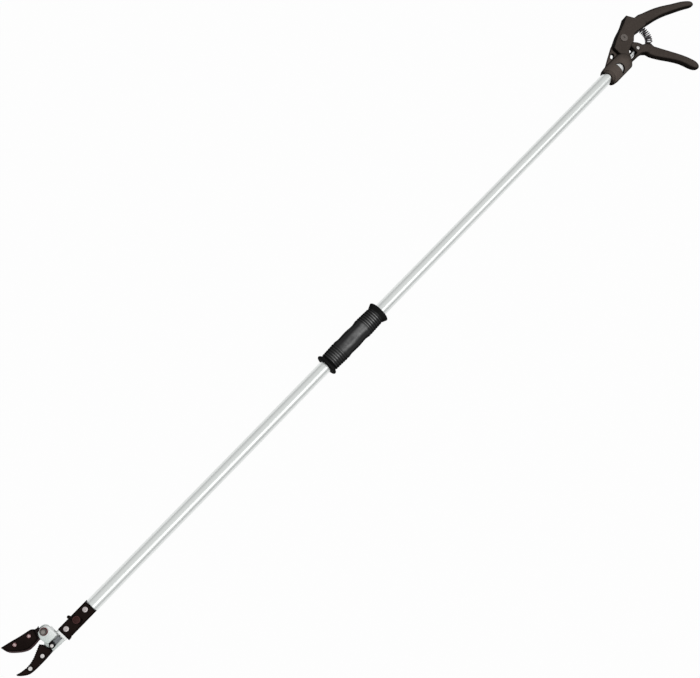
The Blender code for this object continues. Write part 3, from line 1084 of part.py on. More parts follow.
def make_housing(frame):
    """Make the cast handle housing: socket collar, hollow body, web with its hole, and the fixed handle."""
    outline = smooth(list(HOUSING_BACK)) + list(HOUSING_SHOULDER) + smooth(list(HOUSING_UNDERSIDE))
    plate = plate_mesh("handle_housing", outline, -HOUSING_HALF_WIDTH, HOUSING_HALF_WIDTH, HOUSING_EDGE_ROUND)
    housing = add_mesh("handle_housing", plate, frame, finish="handle_paint")
    along = (0.0, math.pi / 2, 0.0)
    mouth = -TUBE_TO_TRIGGER_PIVOT - COLLAR_BORE_DEPTH
    end = mouth + COLLAR_LENGTH
    profile = [(0.0, end), (COLLAR_RADIUS - 0.0025, end), (COLLAR_RADIUS, end - 0.0030),
               (COLLAR_RADIUS, mouth + COLLAR_MOUTH_LENGTH), (COLLAR_RADIUS - 0.0010, mouth + 0.0035),
               (COLLAR_MOUTH_RADIUS, mouth), (0.0, mouth)]
    barrel = turned_mesh("collar", profile, 36)
    collar = add_mesh("collar", barrel, frame, (0.0, -COLLAR_DROP, 0.0), rotation=along)
    nose = drum_mesh("collar_nose", COLLAR_NOSE_RADIUS, -0.03, 0.03, 48)
    nose_item = add_mesh("collar_nose", nose, frame, (mouth + COLLAR_NOSE_RADIUS - 0.0001, 0.0, 0.0),
                         rotation=(math.pi / 2, 0.0, 0.0))
    keep = box_mesh("collar_rear", (mouth + COLLAR_NOSE_RADIUS * 0.8, -0.03, -0.03), (end + 0.01, 0.03, 0.03))
    join(nose_item, add_mesh("collar_rear", keep, frame))
    combine(collar, nose_item, "INTERSECT")
    join(housing, collar)
    web = plate_mesh("web", list(WEB_OUTLINE), -WEB_HALF_WIDTH, WEB_HALF_WIDTH, 0.0008, 1)
    join(housing, add_mesh("web", web, frame))
    join(housing, add_mesh("fixed_handle", loft_mesh("fixed_handle", smooth_sections(FIXED_HANDLE)), frame))

    pocket_left, pocket_right = SPRING_POCKET
    cavity = list(CAVITY_ROOF) + [(pocket_left, 0.0440), (pocket_left, SPRING_TOP[1] + SEAT_GAP),
                                  (pocket_right, SPRING_TOP[1] + SEAT_GAP), (pocket_right, -0.0300),
                                  (CAVITY_ROOF[0][0], -0.0300)]
    hollow = plate_mesh("cavity", cavity, -CAVITY_HALF_WIDTH, CAVITY_HALF_WIDTH)
    cut(housing, add_mesh("cavity", hollow, frame))
    peg = drum_mesh("roof_peg", SPRING_PEG_RADIUS, -SPRING_PEG_LENGTH, 0.0040)
    join(housing, add_mesh("roof_peg", peg, frame, (SPRING_TOP[0], SPRING_TOP[1] + SEAT_GAP, 0.0),
                           rotation=(-math.pi / 2, 0.0, 0.0)))
    floor = -TUBE_TO_TRIGGER_PIVOT + SEAT_GAP
    socket = drum_mesh("socket_bore", TUBE_RADIUS + SEAT_GAP, mouth - 0.01, floor, 40)
    cut(housing, add_mesh("socket_bore", socket, frame, rotation=along))
    relief = drum_mesh("window_relief", WINDOW_RELIEF_RADIUS, WINDOW_CHORD - WINDOW_RELIEF_MARGIN,
                       WINDOW_CHORD + WINDOW_WIDTH + WINDOW_RELIEF_MARGIN, 40)
    cut(housing, add_mesh("window_relief", relief, frame, rotation=along))
    passage = drum_mesh("rod_passage", ROD_PASSAGE_RADIUS, -TUBE_TO_TRIGGER_PIVOT - 0.005, end + 0.004, 28)
    cut(housing, add_mesh("rod_passage", passage, frame, rotation=along))
    window = plate_mesh("collar_window", window_outline(), -0.03, 0.03)
    cut(housing, add_mesh("collar_window", window, frame))
    straight = (WEB_HOLE_LENGTH - WEB_HOLE_WIDTH) / 2
    web_hole = arc((-straight, 0.0), WEB_HOLE_WIDTH / 2, 90.0, 270.0, 8)
    web_hole += arc((straight, 0.0), WEB_HOLE_WIDTH / 2, -90.0, 90.0, 8)
    hole = plate_mesh("web_hole", web_hole, -0.01, 0.01)
    cut(housing, add_mesh("web_hole", hole, frame, (*WEB_HOLE_CENTRE, 0.0),
                          rotation=(0.0, 0.0, math.radians(WEB_HOLE_TILT))))
    hole = drum_mesh("housing_pivot_hole", TRIGGER_RIVET_DIAMETER / 2 + SEAT_GAP, -0.03, 0.03, 24)
    cut(housing, add_mesh("housing_pivot_hole", hole, frame, (0.0, TRIGGER_PIVOT_HEIGHT, 0.0)))
    screw_x = mouth + SOCKET_SCREW_FROM_MOUTH
    bore = SOCKET_SCREW_DIAMETER / 2 + SEAT_GAP
    hole = drum_mesh("housing_screw_hole", bore, -0.03, -TUBE_RADIUS + CUT_THROUGH, 16)
    cut(housing, add_mesh("housing_screw_hole", hole, frame, (screw_x, 0.0, 0.0)))
    return housing


def make_housing_fasteners(frame):
    """Make the trigger's rivet and the screw that holds the tube in its socket, from below."""
    face = HOUSING_HALF_WIDTH + SEAT_GAP
    end = face + TRIGGER_RIVET_HEAD_HEIGHT
    head = TRIGGER_RIVET_HEAD / 2
    shank = TRIGGER_RIVET_DIAMETER / 2
    dimple = TRIGGER_RIVET_DIMPLE / 2
    profile = [(0.0, end - 0.0012), (dimple * 0.7, end - 0.0010), (dimple, end - 0.0001), (head * 0.7, end),
               (head, end - 0.0006), (head, face), (shank, face), (shank, -face), (head * 0.9, -face),
               (head * 0.9, -face - 0.0008), (head * 0.6, -end), (0.0, -end)]
    rivet = turned_mesh("trigger_rivet", profile, 28)
    add_mesh("trigger_rivet", rivet, frame, (0.0, TRIGGER_PIVOT_HEIGHT, 0.0), "dark_steel")
    screw_x = -TUBE_TO_TRIGGER_PIVOT - COLLAR_BORE_DEPTH + SOCKET_SCREW_FROM_MOUTH
    outside = -COLLAR_RADIUS - SEAT_GAP
    head = SOCKET_SCREW_HEAD / 2
    shank = SOCKET_SCREW_DIAMETER / 2
    end = outside - SOCKET_SCREW_HEAD_HEIGHT
    profile = [(0.0, -TUBE_RADIUS - SEAT_GAP), (shank, -TUBE_RADIUS - SEAT_GAP), (shank, outside),
               (head, outside), (head, (outside + end) / 2), (head * 0.6, end), (0.0, end)]
    screw = turned_mesh("socket_screw", profile, SMALL_ROUND_STEPS)
    add_mesh("socket_screw", screw, frame, (screw_x, 0.0, 0.0), "zinc")


def spring_path():
    """Return the spring's centre line as a function of a share from 0 at the roof to 1 at the lever."""
    top, foot = Vector(SPRING_TOP), Vector(SPRING_FOOT)
    leave, arrive = Vector(SPRING_TOP_PULL), Vector(SPRING_FOOT_PULL)

    def place(t):
        return ((2 * t ** 3 - 3 * t ** 2 + 1) * top + (t ** 3 - 2 * t ** 2 + t) * leave
                + (3 * t ** 2 - 2 * t ** 3) * foot + (t ** 3 - t ** 2) * arrive)
    return place


def spring_points():
    """Return the points of the spring's wire, coiled round its bent centre line."""
    place = spring_path()
    radius = (SPRING_OUTSIDE - SPRING_WIRE) / 2
    count = int(SPRING_CURLS * SPRING_POINTS_PER_CURL)
    points = []
    for i in range(count + 1):
        share = i / count
        t = 0.03 + 0.94 * share
        centre = place(t)
        ahead = (place(t + 0.005) - place(t - 0.005)).normalized()
        side = Vector((-ahead.y, ahead.x))
        angle = math.tau * SPRING_CURLS * share
        across = radius * math.cos(angle)
        points.append((centre.x + side.x * across, centre.y + side.y * across, radius * math.sin(angle)))
    return points


def least_gap(points, skip):
    """Return the least distance between the wire's own turns, less its thickness."""
    least = 1.0
    for i, a in enumerate(points):
        for b in points[i + skip:]:
            least = min(least, math.dist(a, b))
    return least - SPRING_WIRE


def make_spring(frame):
    """Make the return spring as one coiled wire between the roof of the housing and the lever's seat."""
    points = spring_points()
    gap = least_gap(points, SPRING_POINTS_PER_CURL // 2 + 1)
    print(f"return spring: least gap to itself {gap * 1000:.2f} mm")
    curve = bpy.data.curves.new("return_spring", "CURVE")
    curve.dimensions = "3D"
    curve.bevel_depth = SPRING_WIRE / 2
    curve.bevel_resolution = 1
    curve.use_fill_caps = True
    curve.twist_mode = "MINIMUM"
    spline = curve.splines.new("POLY")
    spline.points.add(len(points) - 1)
    for point, spot in zip(spline.points, points):
        point.co = (*spot, 1.0)
    item = bpy.data.objects.new("return_spring", curve)
    GUIDES.objects.link(item)
    mesh = evaluated_mesh(item)
    shape = bmesh.new()
    shape.from_mesh(mesh)
    bmesh.ops.remove_doubles(shape, verts=shape.verts, dist=0.000002)
    shape.to_mesh(mesh)
    shape.free()
    add_mesh("return_spring", mesh, frame, finish="spring_steel")


def stand_on_floor(root):
    """Move the whole tool so that the origin lies under its middle, at floor height."""
    bpy.context.view_layer.update()
    graph = bpy.context.evaluated_depsgraph_get()
    low = Vector((1e9, 1e9, 1e9))
    high = -low
    for item in PIECES.objects:
        shape = item.evaluated_get(graph)
        mesh = shape.to_mesh()
        for vertex in mesh.vertices:
            spot = item.matrix_world @ vertex.co
            low = Vector(map(min, low, spot))
            high = Vector(map(max, high, spot))
        shape.to_mesh_clear()
    root.location = (-(low.x + high.x) / 2, -(low.y + high.y) / 2, -low.z)
    bpy.context.view_layer.update()
    size = high - low
    print(f"size: {size.x * 1000:.1f} by {size.y * 1000:.1f} by {size.z * 1000:.1f} mm")


def report_joints(frames, blade_ratio, rod_ratio):
    """Print where the joints are and how they follow each other."""
    for frame in frames:
        x, y, z = frame.matrix_world.translation
        print(f"joint {frame.name}: {x:.6f} {y:.6f} {z:.6f}")
    print(f"blade turns {blade_ratio:.6f} and rod {rod_ratio:.6f} for each turn of the trigger")
    miss = linkage_miss(blade_ratio, rod_ratio)
    room = (CRANK_EYE_BORE - BLADE_PIN_DIAMETER) / 2
    print(f"open linkage joint: widest miss {miss * 1000:.3f} mm, room {room * 1000:.3f} mm")


def build():
    """Build the whole tool."""
    blade_ratio, rod_ratio = linkage_ratios()
    root = add_frame("pond_shears", None, (0.0, 0.0, 0.0))
    head = add_frame("head_frame", root, (0.0, 0.0, 0.0))
    tube_end = add_frame("tube_frame", root, (BLADE_PIVOT_TO_TUBE, 0.0, 0.0))
    handle = add_frame("handle_frame", root, (PIVOT_SPAN, 0.0, 0.0))
    blade_pivot = add_frame("blade_pivot", head, (0.0, BLADE_PIVOT_HEIGHT, 0.0))
    lock_pivot = add_frame("lock_pivot", head, (LOCK_FROM_BLADE, LOCK_LINE, 0.0))
    trigger_pivot = add_frame("trigger_pivot", handle, (0.0, TRIGGER_PIVOT_HEIGHT, 0.0))
    rod_pivot = add_frame("rod_pivot", handle, (*ROD_PIN, 0.0), ROD_SLOPE)
    make_tube(tube_end)
    make_grip(tube_end)
    make_body(head)
    make_hook(head)
    make_blade(blade_pivot)
    make_holder(blade_pivot)
    make_pivot_bolt(blade_pivot)
    make_bracket(head)
    make_tube_block(head)
    make_lock(lock_pivot)
    make_rod(rod_pivot)
    make_rod_pin(trigger_pivot)
    make_lever(trigger_pivot)
    make_housing(handle)
    make_housing_fasteners(handle)
    make_spring(handle)
    stand_on_floor(root)
    report_joints((trigger_pivot, rod_pivot, blade_pivot, lock_pivot), blade_ratio, rod_ratio)


clear_scene()
GUIDES = new_collection("Guides")
PIECES = new_collection("Pond shears")
MATERIALS = make_materials()
build()
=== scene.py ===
"""Pond shears lying on a white studio floor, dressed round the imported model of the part."""
import json
import logging
import math
from dataclasses import dataclass, field, replace
from enum import Enum
from typing import Any, ClassVar, Optional, Sequence

import bmesh
import bpy
from mathutils import Matrix, Vector
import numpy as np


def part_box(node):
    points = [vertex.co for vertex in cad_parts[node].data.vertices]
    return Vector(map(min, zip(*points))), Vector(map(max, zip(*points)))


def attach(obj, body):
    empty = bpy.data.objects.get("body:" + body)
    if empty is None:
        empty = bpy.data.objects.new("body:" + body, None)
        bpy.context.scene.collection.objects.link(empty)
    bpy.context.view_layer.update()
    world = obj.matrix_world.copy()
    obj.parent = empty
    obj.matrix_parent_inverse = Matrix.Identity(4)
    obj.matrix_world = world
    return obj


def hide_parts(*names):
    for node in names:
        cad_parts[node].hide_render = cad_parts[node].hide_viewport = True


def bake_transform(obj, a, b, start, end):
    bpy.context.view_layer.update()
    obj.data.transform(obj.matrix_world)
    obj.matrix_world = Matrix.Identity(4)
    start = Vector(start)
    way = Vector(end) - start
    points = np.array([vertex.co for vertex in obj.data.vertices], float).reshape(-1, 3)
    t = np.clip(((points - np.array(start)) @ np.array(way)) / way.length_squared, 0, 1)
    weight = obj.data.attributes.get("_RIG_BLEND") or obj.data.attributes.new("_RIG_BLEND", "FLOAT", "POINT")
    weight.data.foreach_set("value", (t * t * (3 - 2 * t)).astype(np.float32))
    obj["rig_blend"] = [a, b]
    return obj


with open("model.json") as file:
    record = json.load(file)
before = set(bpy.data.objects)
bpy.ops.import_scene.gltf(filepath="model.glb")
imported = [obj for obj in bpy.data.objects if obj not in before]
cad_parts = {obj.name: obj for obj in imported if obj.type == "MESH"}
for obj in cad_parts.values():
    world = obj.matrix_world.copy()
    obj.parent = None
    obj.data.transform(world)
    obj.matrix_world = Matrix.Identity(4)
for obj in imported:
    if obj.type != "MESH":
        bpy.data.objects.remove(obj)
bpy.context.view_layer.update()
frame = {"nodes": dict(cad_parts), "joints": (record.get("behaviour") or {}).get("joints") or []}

LOG = logging.getLogger("pond_shears")
Values = dict[Any, Any]
Colour = tuple[float, float, float]
Point = tuple[float, float]
Points = tuple[Point, ...]
Span = tuple[float, float]
Triple = tuple[float, float, float]
WHITE: Colour = (1.0, 1.0, 1.0)
JOINTS = {joint["name"]: joint for joint in frame["joints"]}
WELD_DISTANCE = 0.000004
MERGE_DISTANCE = 0.00001
FLAT_ANGLE = math.radians(0.2)
ROUND_STEPS = 96
WIRE_ROUNDING = 3
ROUND_ANGLE = 35.0


class Body(Enum):
    """The moving groups of the shears."""

    FRAME = "frame"
    TRIGGER = "trigger"
    ROD = "pull_rod"
    BLADE = "blade"
    LOCK = "lock"


class Wire:
    """A number that a shader works out at each point, with sums written as plain arithmetic."""

    def __init__(self, tree: "Tree", socket: bpy.types.NodeSocket) -> None:
        """Wrap a socket.

        Args:
            tree: The node tree that the socket is in.
            socket: The output that carries the number.
        """
        self.tree = tree
        self.socket = socket

    def _sum(self, operation: str, *values: Any, clamp: bool = False) -> "Wire":
        """Add one Math node.

        Args:
            operation: The Math node's operation.
            values: Its values or links.
            clamp: Whether the result is held between 0 and 1.

        Returns:
            The result.
        """
        settings = {"operation": operation, "use_clamp": clamp}
        return self.tree.wire("ShaderNodeMath", settings, dict(enumerate(values)))

    def __add__(self, other: Any) -> "Wire":
        """Add."""
        return self._sum("ADD", self, other)

    __radd__ = __add__

    def __sub__(self, other: Any) -> "Wire":
        """Subtract."""
        return self._sum("SUBTRACT", self, other)

    def __rsub__(self, other: Any) -> "Wire":
        """Subtract, from the right."""
        return self._sum("SUBTRACT", other, self)

    def __mul__(self, other: Any) -> "Wire":
        """Multiply."""
        return self._sum("MULTIPLY", self, other)

    def __abs__(self) -> "Wire":
        """Drop the sign."""
        return self._sum("ABSOLUTE", self)

    def held(self) -> "Wire":
        """Return the number held between 0 and 1."""
        return self._sum("ADD", self, 0.0, clamp=True)

    def ramp(self, step: Span) -> "Wire":
        """Return 0 below one level and 1 above another, with a soft step between.

        Args:
            step: The levels where the step starts and ends.

        Returns:
            The stepped number.
        """
        inputs = {"Value": self, "From Min": step[0], "From Max": step[1]}
        return self.tree.wire("ShaderNodeMapRange", {"interpolation_type": "SMOOTHSTEP"}, inputs)


class Tree:
    """A node tree with one way to add any node."""

    edge_samples: ClassVar[int] = 6
    edge_turn: ClassVar[Span] = (0.008, 0.055)

    def __init__(self, tree: bpy.types.NodeTree) -> None:
        """Take over a node tree and empty it.

        Args:
            tree: The tree of a material or a world.
        """
        self.tree = tree
        self.tree.nodes.clear()

    def node(self, kind: str, settings: Optional[Values] = None,
             inputs: Optional[Values] = None) -> bpy.types.Node:
        """Add a node.

        Args:
            kind: The node's type.
            settings: Its own settings, set first.
            inputs: The values or links of its sockets, by name or number.

        Returns:
            The node.
        """
        node = self.tree.nodes.new(kind)
        for name, value in (settings or {}).items():
            setattr(node, name, value)
        for name, value in (inputs or {}).items():
            self.feed(node.inputs[name], value)
        return node

    def feed(self, socket: bpy.types.NodeSocket, value: Any) -> None:
        """Link or set a socket.

        Args:
            socket: The input.
            value: A wire, an output socket, a colour or a number.
        """
        if isinstance(value, Wire):
            value = value.socket
        if isinstance(value, bpy.types.NodeSocket):
            self.tree.links.new(value, socket)
        elif socket.type == "RGBA":
            socket.default_value = (*value, 1.0)
        else:
            socket.default_value = value

    def wire(self, kind: str, settings: Optional[Values] = None, inputs: Optional[Values] = None,
             output: Any = 0) -> Wire:
        """Add a node and return one of its outputs as a number.

        Args:
            kind: The node's type.
            settings: Its own settings.
            inputs: The values or links of its sockets.
            output: The output's name or number.

        Returns:
            The output.
        """
        return Wire(self, self.node(kind, settings, inputs).outputs[output])

    def place(self, stretch: Triple = (1.0, 1.0, 1.0)) -> bpy.types.NodeSocket:
        """Return the point on the piece in metres, stretched along its axes.

        Args:
            stretch: The factor along each axis.

        Returns:
            The vector's socket.
        """
        point = self.node("ShaderNodeTexCoord").outputs["Object"]
        return self.node("ShaderNodeVectorMath", {"operation": "MULTIPLY"}, {0: point, 1: stretch}).outputs[0]

    def along(self) -> Wire:
        """Return how far along X the point lies, in metres."""
        return self.wire("ShaderNodeSeparateXYZ", None, {0: self.place()}, "X")

    def bulge(self) -> Wire:
        """Return a number under 0.5 in a hollow and over 0.5 on a crest."""
        return self.wire("ShaderNodeNewGeometry", None, None, "Pointiness")

    def upright(self) -> Wire:
        """Return 0 where the surface lies flat and 1 where it stands upright."""
        normal = self.node("ShaderNodeNewGeometry").outputs["Normal"]
        return 1.0 - abs(self.wire("ShaderNodeSeparateXYZ", None, {0: normal}, "Z"))

    def edges(self, radius: float) -> Wire:
        """Return 0 on open surface, rising to 1 at an edge or a corner.

        Args:
            radius: How far from the edge it starts, in metres.

        Returns:
            The number.
        """
        rounded = self.node("ShaderNodeBevel", {"samples": self.edge_samples}, {"Radius": radius}).outputs[0]
        normal = self.node("ShaderNodeNewGeometry").outputs["Normal"]
        inputs = {0: rounded, 1: normal}
        turn = self.wire("ShaderNodeVectorMath", {"operation": "DOT_PRODUCT"}, inputs, "Value")
        return (1.0 - turn).ramp(self.edge_turn)

    def blend(self, share: Any, first: Any, second: Any) -> bpy.types.NodeSocket:
        """Mix two colours.

        Args:
            share: How much of the second there is.
            first: The first colour or link.
            second: The second colour or link.

        Returns:
            The mixed colour's socket.
        """
        inputs = {0: share, 6: first, 7: second}
        return self.node("ShaderNodeMix", {"data_type": "RGBA"}, inputs).outputs[2]


def scaled(colour: Colour, factor: float) -> Colour:
    """Return a lighter or darker colour."""
    return (colour[0] * factor, colour[1] * factor, colour[2] * factor)


@dataclass(frozen=True)
class Layer:
    """Clouds in a finish: their size in metres, their detail, and the levels where they step in.

    The share is how much of them shows, and the gain is their factor on the colour.
    """

    size: float
    detail: float = 4.0
    rough: float = 0.6
    step: Span = (0.3, 0.7)
    share: float = 1.0
    gain: float = 1.0
    stretch: Triple = (1.0, 1.0, 1.0)

    def clouds(self, tree: Tree) -> Wire:
        """Make the clouds.

        Args:
            tree: The material's tree.

        Returns:
            A number about 0.5.
        """
        inputs = {"Vector": tree.place(self.stretch), "Scale": 1.0 / self.size, "Detail": self.detail,
                  "Roughness": self.rough}
        return tree.wire("ShaderNodeTexNoise", None, inputs, "Fac")

    def mask(self, tree: Tree) -> Wire:
        """Return how much of the layer shows."""
        return self.clouds(tree).ramp(self.step) * self.share


@dataclass(frozen=True)
class Finish:
    """A surface finish with soft patches and a fine grain. Its subclasses vary in other ways."""

    name: str
    slot: str
    colour: Colour
    roughness: float
    metallic: float = 0.0
    specular: float = 0.5
    spread: float = 0.08
    grain: Layer = Layer(0.0006, 2.0, 0.5)
    depth: float = 0.00001
    strength: float = 1.0
    patches: Layer = Layer(0.03, 4.0, 0.5, (0.32, 0.68), 0.7)
    gloss: Layer = Layer(0.012, 4.0, 0.5)
    gloss_swing: float = 0.12

    def material(self) -> bpy.types.Material:
        """Make the finish's material, or find the one made before.

        Returns:
            The material.
        """
        made = bpy.data.materials.get(self.name)
        if made:
            return made
        made = bpy.data.materials.new(self.name)
        made.use_nodes = True
        tree = Tree(made.node_tree)
        shader = tree.node("ShaderNodeBsdfPrincipled", None, {
            "Metallic": self.metallic, "Roughness": self.roughness, "Specular IOR Level": self.specular})
        for name, value in self.paint(tree).items():
            tree.feed(shader.inputs[name], value)
        tree.node("ShaderNodeOutputMaterial", None, {"Surface": shader.outputs[0]})
        made.diffuse_color = (*self.colour, 1.0)
        return made

    def toned(self, tree: Tree, share: Wire, light: float = 1.0) -> bpy.types.NodeSocket:
        """Return the finish's colour, darker and lighter by its spread.

        Args:
            tree: The material's tree.
            share: 0 where the colour is darkest and 1 where it is lightest.
            light: How far the lightest goes, as a share of the spread.

        Returns:
            The colour's socket.
        """
        lightest = scaled(self.colour, 1.0 + self.spread * light)
        return tree.blend(share, scaled(self.colour, 1.0 - self.spread), lightest)

    def swung(self, cloud: Wire) -> Wire:
        """Return a roughness that swings about the finish's own with a number about 0.5."""
        return (self.roughness - self.gloss_swing / 2) + cloud * self.gloss_swing

    def fed(self, tree: Tree, colour: bpy.types.NodeSocket, roughness: Wire, height: Wire) -> Values:
        """Gather what the shader is fed with.

        Args:
            tree: The material's tree.
            colour: The colour's socket.
            roughness: The roughness.
            height: The relief, from 0 to 1.

        Returns:
            The shader's inputs.
        """
        relief = {"Height": height, "Distance": self.depth, "Strength": self.strength}
        normal = tree.node("ShaderNodeBump", None, relief).outputs[0]
        return {"Base Color": colour, "Roughness": roughness, "Normal": normal}

    def paint(self, tree: Tree) -> Values:
        """Lay soft patches and a fine grain over the surface.

        Args:
            tree: The material's tree.

        Returns:
            The shader's inputs.
        """
        fine = self.grain.clouds(tree)
        tone = self.patches.clouds(tree) * self.patches.share + fine * (1.0 - self.patches.share)
        colour = self.toned(tree, tone.ramp(self.patches.step))
        return self.fed(tree, colour, self.swung(self.gloss.clouds(tree)), fine)


@dataclass(frozen=True)
class CastPaint(Finish):
    """Thick powder paint on a casting, with dull sides, painted shade on its sides and edges, rubbed high
    spots and, where set, painted light towards one end.
    """

    grain: Layer = Layer(0.0011, 2.0, 0.4)
    strength: float = 0.6
    patches: Layer = Layer(0.045, 4.0, 0.55)
    mottles: tuple[Layer, ...] = (Layer(0.0026, 3.0, 0.6, (0.44, 0.66), 0.24, 1.9),
                                  Layer(0.00035, 1.0, 0.5, (0.56, 0.74), 0.25, 2.2))
    # Painted light towards one end: where it fades, its share and its gain.
    painted_light_step: Span = (0.0, 1.0)
    painted_light_share: float = 0.0
    painted_light_gain: float = 2.6
    # Painted shade on the sides: where it steps in and its share.
    side_shade_step: Span = (0.25, 0.65)
    side_shade_share: float = 0.88
    side_dulling: float = 0.45
    edge_width: float = 0.0055
    shade_gain: float = 0.05
    ridge_step: Span = (0.535, 0.62)
    rub: Layer = Layer(0.009, 5.0, 0.65, (0.48, 0.66), 0.08)
    rubbed: Colour = (0.16, 0.145, 0.13)
    polish: float = 0.07

    def paint(self, tree: Tree) -> Values:
        """Lay the skin, the mottles, the painted light at the pale end, the painted shade on the sides and
        edges and the rubbed spots.

        Args:
            tree: The material's tree.

        Returns:
            The shader's inputs.
        """
        patches = self.patches.clouds(tree)
        body = self.toned(tree, patches.ramp(self.patches.step))
        for mottle in self.mottles:
            body = tree.blend(mottle.mask(tree), body, scaled(self.colour, mottle.gain))
        # Painted light: the socket end is made lighter, where the lamps light it less.
        if self.painted_light_share:
            pale = (1.0 - tree.along().ramp(self.painted_light_step)) * self.painted_light_share
            body = tree.blend(pale, body, scaled(self.colour, self.painted_light_gain))
        # Painted shade: the sides and the edges are darkened.
        side = tree.upright().ramp(self.side_shade_step)
        shade = (side * self.side_shade_share + tree.edges(self.edge_width)).held()
        body = tree.blend(shade, body, scaled(self.colour, self.shade_gain))
        rub = tree.bulge().ramp(self.ridge_step) * self.rub.mask(tree)
        dulled = (self.roughness - self.polish) + patches * self.gloss_swing + side * self.side_dulling
        return self.fed(tree, tree.blend(rub, body, self.rubbed), dulled, self.grain.clouds(tree))


@dataclass(frozen=True)
class DrawnMetal(Finish):
    """Metal with lines drawn along X and faint smudges."""

    grain: Layer = Layer(0.00016, 2.0, 0.6, stretch=(0.004, 1.0, 1.0))
    strength: float = 0.35
    patches: Layer = Layer(0.05, 5.0, 0.6, share=0.4, stretch=(0.5, 1.0, 1.0))
    light: float = 0.5
    gloss_swing: float = 0.10

    def paint(self, tree: Tree) -> Values:
        """Lay the drawn lines and smudges.

        Args:
            tree: The material's tree.

        Returns:
            The shader's inputs.
        """
        lines, smudge = self.grain.clouds(tree), self.patches.clouds(tree)
        tone = lines * (1.0 - self.patches.share) + smudge * self.patches.share
        colour = self.toned(tree, tone.ramp(self.patches.step), self.light)
        roughness = (self.roughness - self.gloss_swing) + (lines + smudge) * self.gloss_swing
        return self.fed(tree, colour, roughness, lines)


@dataclass(frozen=True)
class MouldedRubber(Finish):
    """Moulded rubber with a pebbled skin, painted shade and dirt in the hollows, painted shade on the flanks,
    flanges and edges, and a painted highlight on the crests.
    """

    strength: float = 0.5
    patches: Layer = Layer(0.03, 4.0, 0.6, (0.50, 0.75), 0.2)
    pebble: float = 0.0009
    pebble_dulling: float = 0.08
    middle: float = 0.0
    half: float = 0.065
    flange_length: float = 0.0105
    flange_fade: float = 0.002
    # Painted shade and some dirt in the hollows.
    hollow_step: Span = (0.44, 0.50)
    hollow_shade_and_dirt_share: float = 0.85
    hollow_shade_and_dirt_gain: float = 0.15
    hollow_dulling: float = 0.2
    # Painted highlight on the crests, and its colour.
    crest_highlight_step: Span = (0.50, 0.56)
    crest_highlight_share: float = 0.7
    highlight_and_patch_colour: Colour = (0.034, 0.034, 0.034)
    # Painted shade on the flanks.
    flank_shade_step: Span = (0.22, 0.66)
    flank_shade_share: float = 0.85
    dull_step: Span = (0.10, 0.60)
    dulling: float = 0.6
    edge_width: float = 0.0012
    edge_shade_share: float = 0.5
    shade_gain: float = 0.12
    coat_roughness: float = 0.30
    coat_ior: float = 2.4
    glint_step: Span = (0.0, 0.20)
    coat_least: float = 0.30
    coat_step: Span = (0.35, 0.65)
    coat_loss: float = 0.8

    def paint(self, tree: Tree) -> Values:
        """Lay the pebbled skin, the painted shade in the hollows and on the flanks and flanges, the painted
        highlight on the crests and their shine.

        Args:
            tree: The material's tree.

        Returns:
            The shader's inputs.
        """
        points = {"Vector": tree.place(), "Scale": 1.0 / self.pebble}
        pebble = tree.wire("ShaderNodeTexVoronoi", None, points, "Distance")
        patches = self.patches.clouds(tree)
        bulge, upright, flange = tree.bulge(), tree.upright(), self._flange(tree)
        # Painted shade and some dirt in the hollows between the ribs.
        hollow = 1.0 - bulge.ramp(self.hollow_step)
        body = tree.blend(hollow * self.hollow_shade_and_dirt_share, self.colour, scaled(self.colour, self.hollow_shade_and_dirt_gain))
        # A painted highlight on the crests of the ribs, with lighter patches at random.
        highlight_and_patches = bulge.ramp(self.crest_highlight_step) * self.crest_highlight_share
        highlight_and_patches = (highlight_and_patches + patches.ramp(self.patches.step) * self.patches.share).held()
        body = tree.blend(highlight_and_patches, body, self.highlight_and_patch_colour)
        # Painted shade on the flanks, the flanges and the edges.
        shade = upright.ramp(self.flank_shade_step) * self.flank_shade_share + flange
        shade = (shade + tree.edges(self.edge_width) * self.edge_shade_share).held()
        body = tree.blend(shade, body, scaled(self.colour, self.shade_gain))
        dulled = self.roughness + hollow * self.hollow_dulling + pebble * self.pebble_dulling
        dulled = (dulled + upright.ramp(self.dull_step) * self.dulling).held()
        glint = 1.0 - upright.ramp(self.glint_step)
        shine = glint * glint * (self.coat_least + patches.ramp(self.coat_step) * (1.0 - self.coat_least))
        return {**self.fed(tree, body, dulled, pebble),
                "Coat Weight": shine * (1.0 - hollow * self.coat_loss) * (1.0 - flange),
                "Coat Roughness": self.coat_roughness, "Coat IOR": self.coat_ior}

    def _flange(self, tree: Tree) -> Wire:
        """Return 1 on the flanges and 0 on the rest."""
        start = self.half - self.flange_length
        return abs(tree.along() - self.middle).ramp((start, start + self.flange_fade))


@dataclass(frozen=True)
class DomedSteel(Finish):
    """A domed head with a colour painted round its rim: painted shade on the rivets and screws, a painted
    highlight on the button.
    """

    grain: Layer = Layer(0.0012, 4.0, 0.7, (0.35, 0.65), stretch=(1.0, 0.12, 1.0))
    strength: float = 0.4
    rim: Colour = (0.16, 0.13, 0.13)
    rim_step: Span = (0.10, 0.45)
    rim_width: float = 0.0

    def paint(self, tree: Tree) -> Values:
        """Lay faint scratches over the head and the rim's painted colour round it.

        Args:
            tree: The material's tree.

        Returns:
            The shader's inputs.
        """
        scratch = self.grain.clouds(tree)
        # The rim's colour is painted shade on the rivets and screws and a painted highlight on the button.
        rim = tree.upright().ramp(self.rim_step)
        if self.rim_width:
            rim = (rim + tree.edges(self.rim_width)).held()
        tone = self.toned(tree, scratch.ramp(self.grain.step))
        return self.fed(tree, tree.blend(rim, tone, self.rim), self.swung(scratch), scratch)


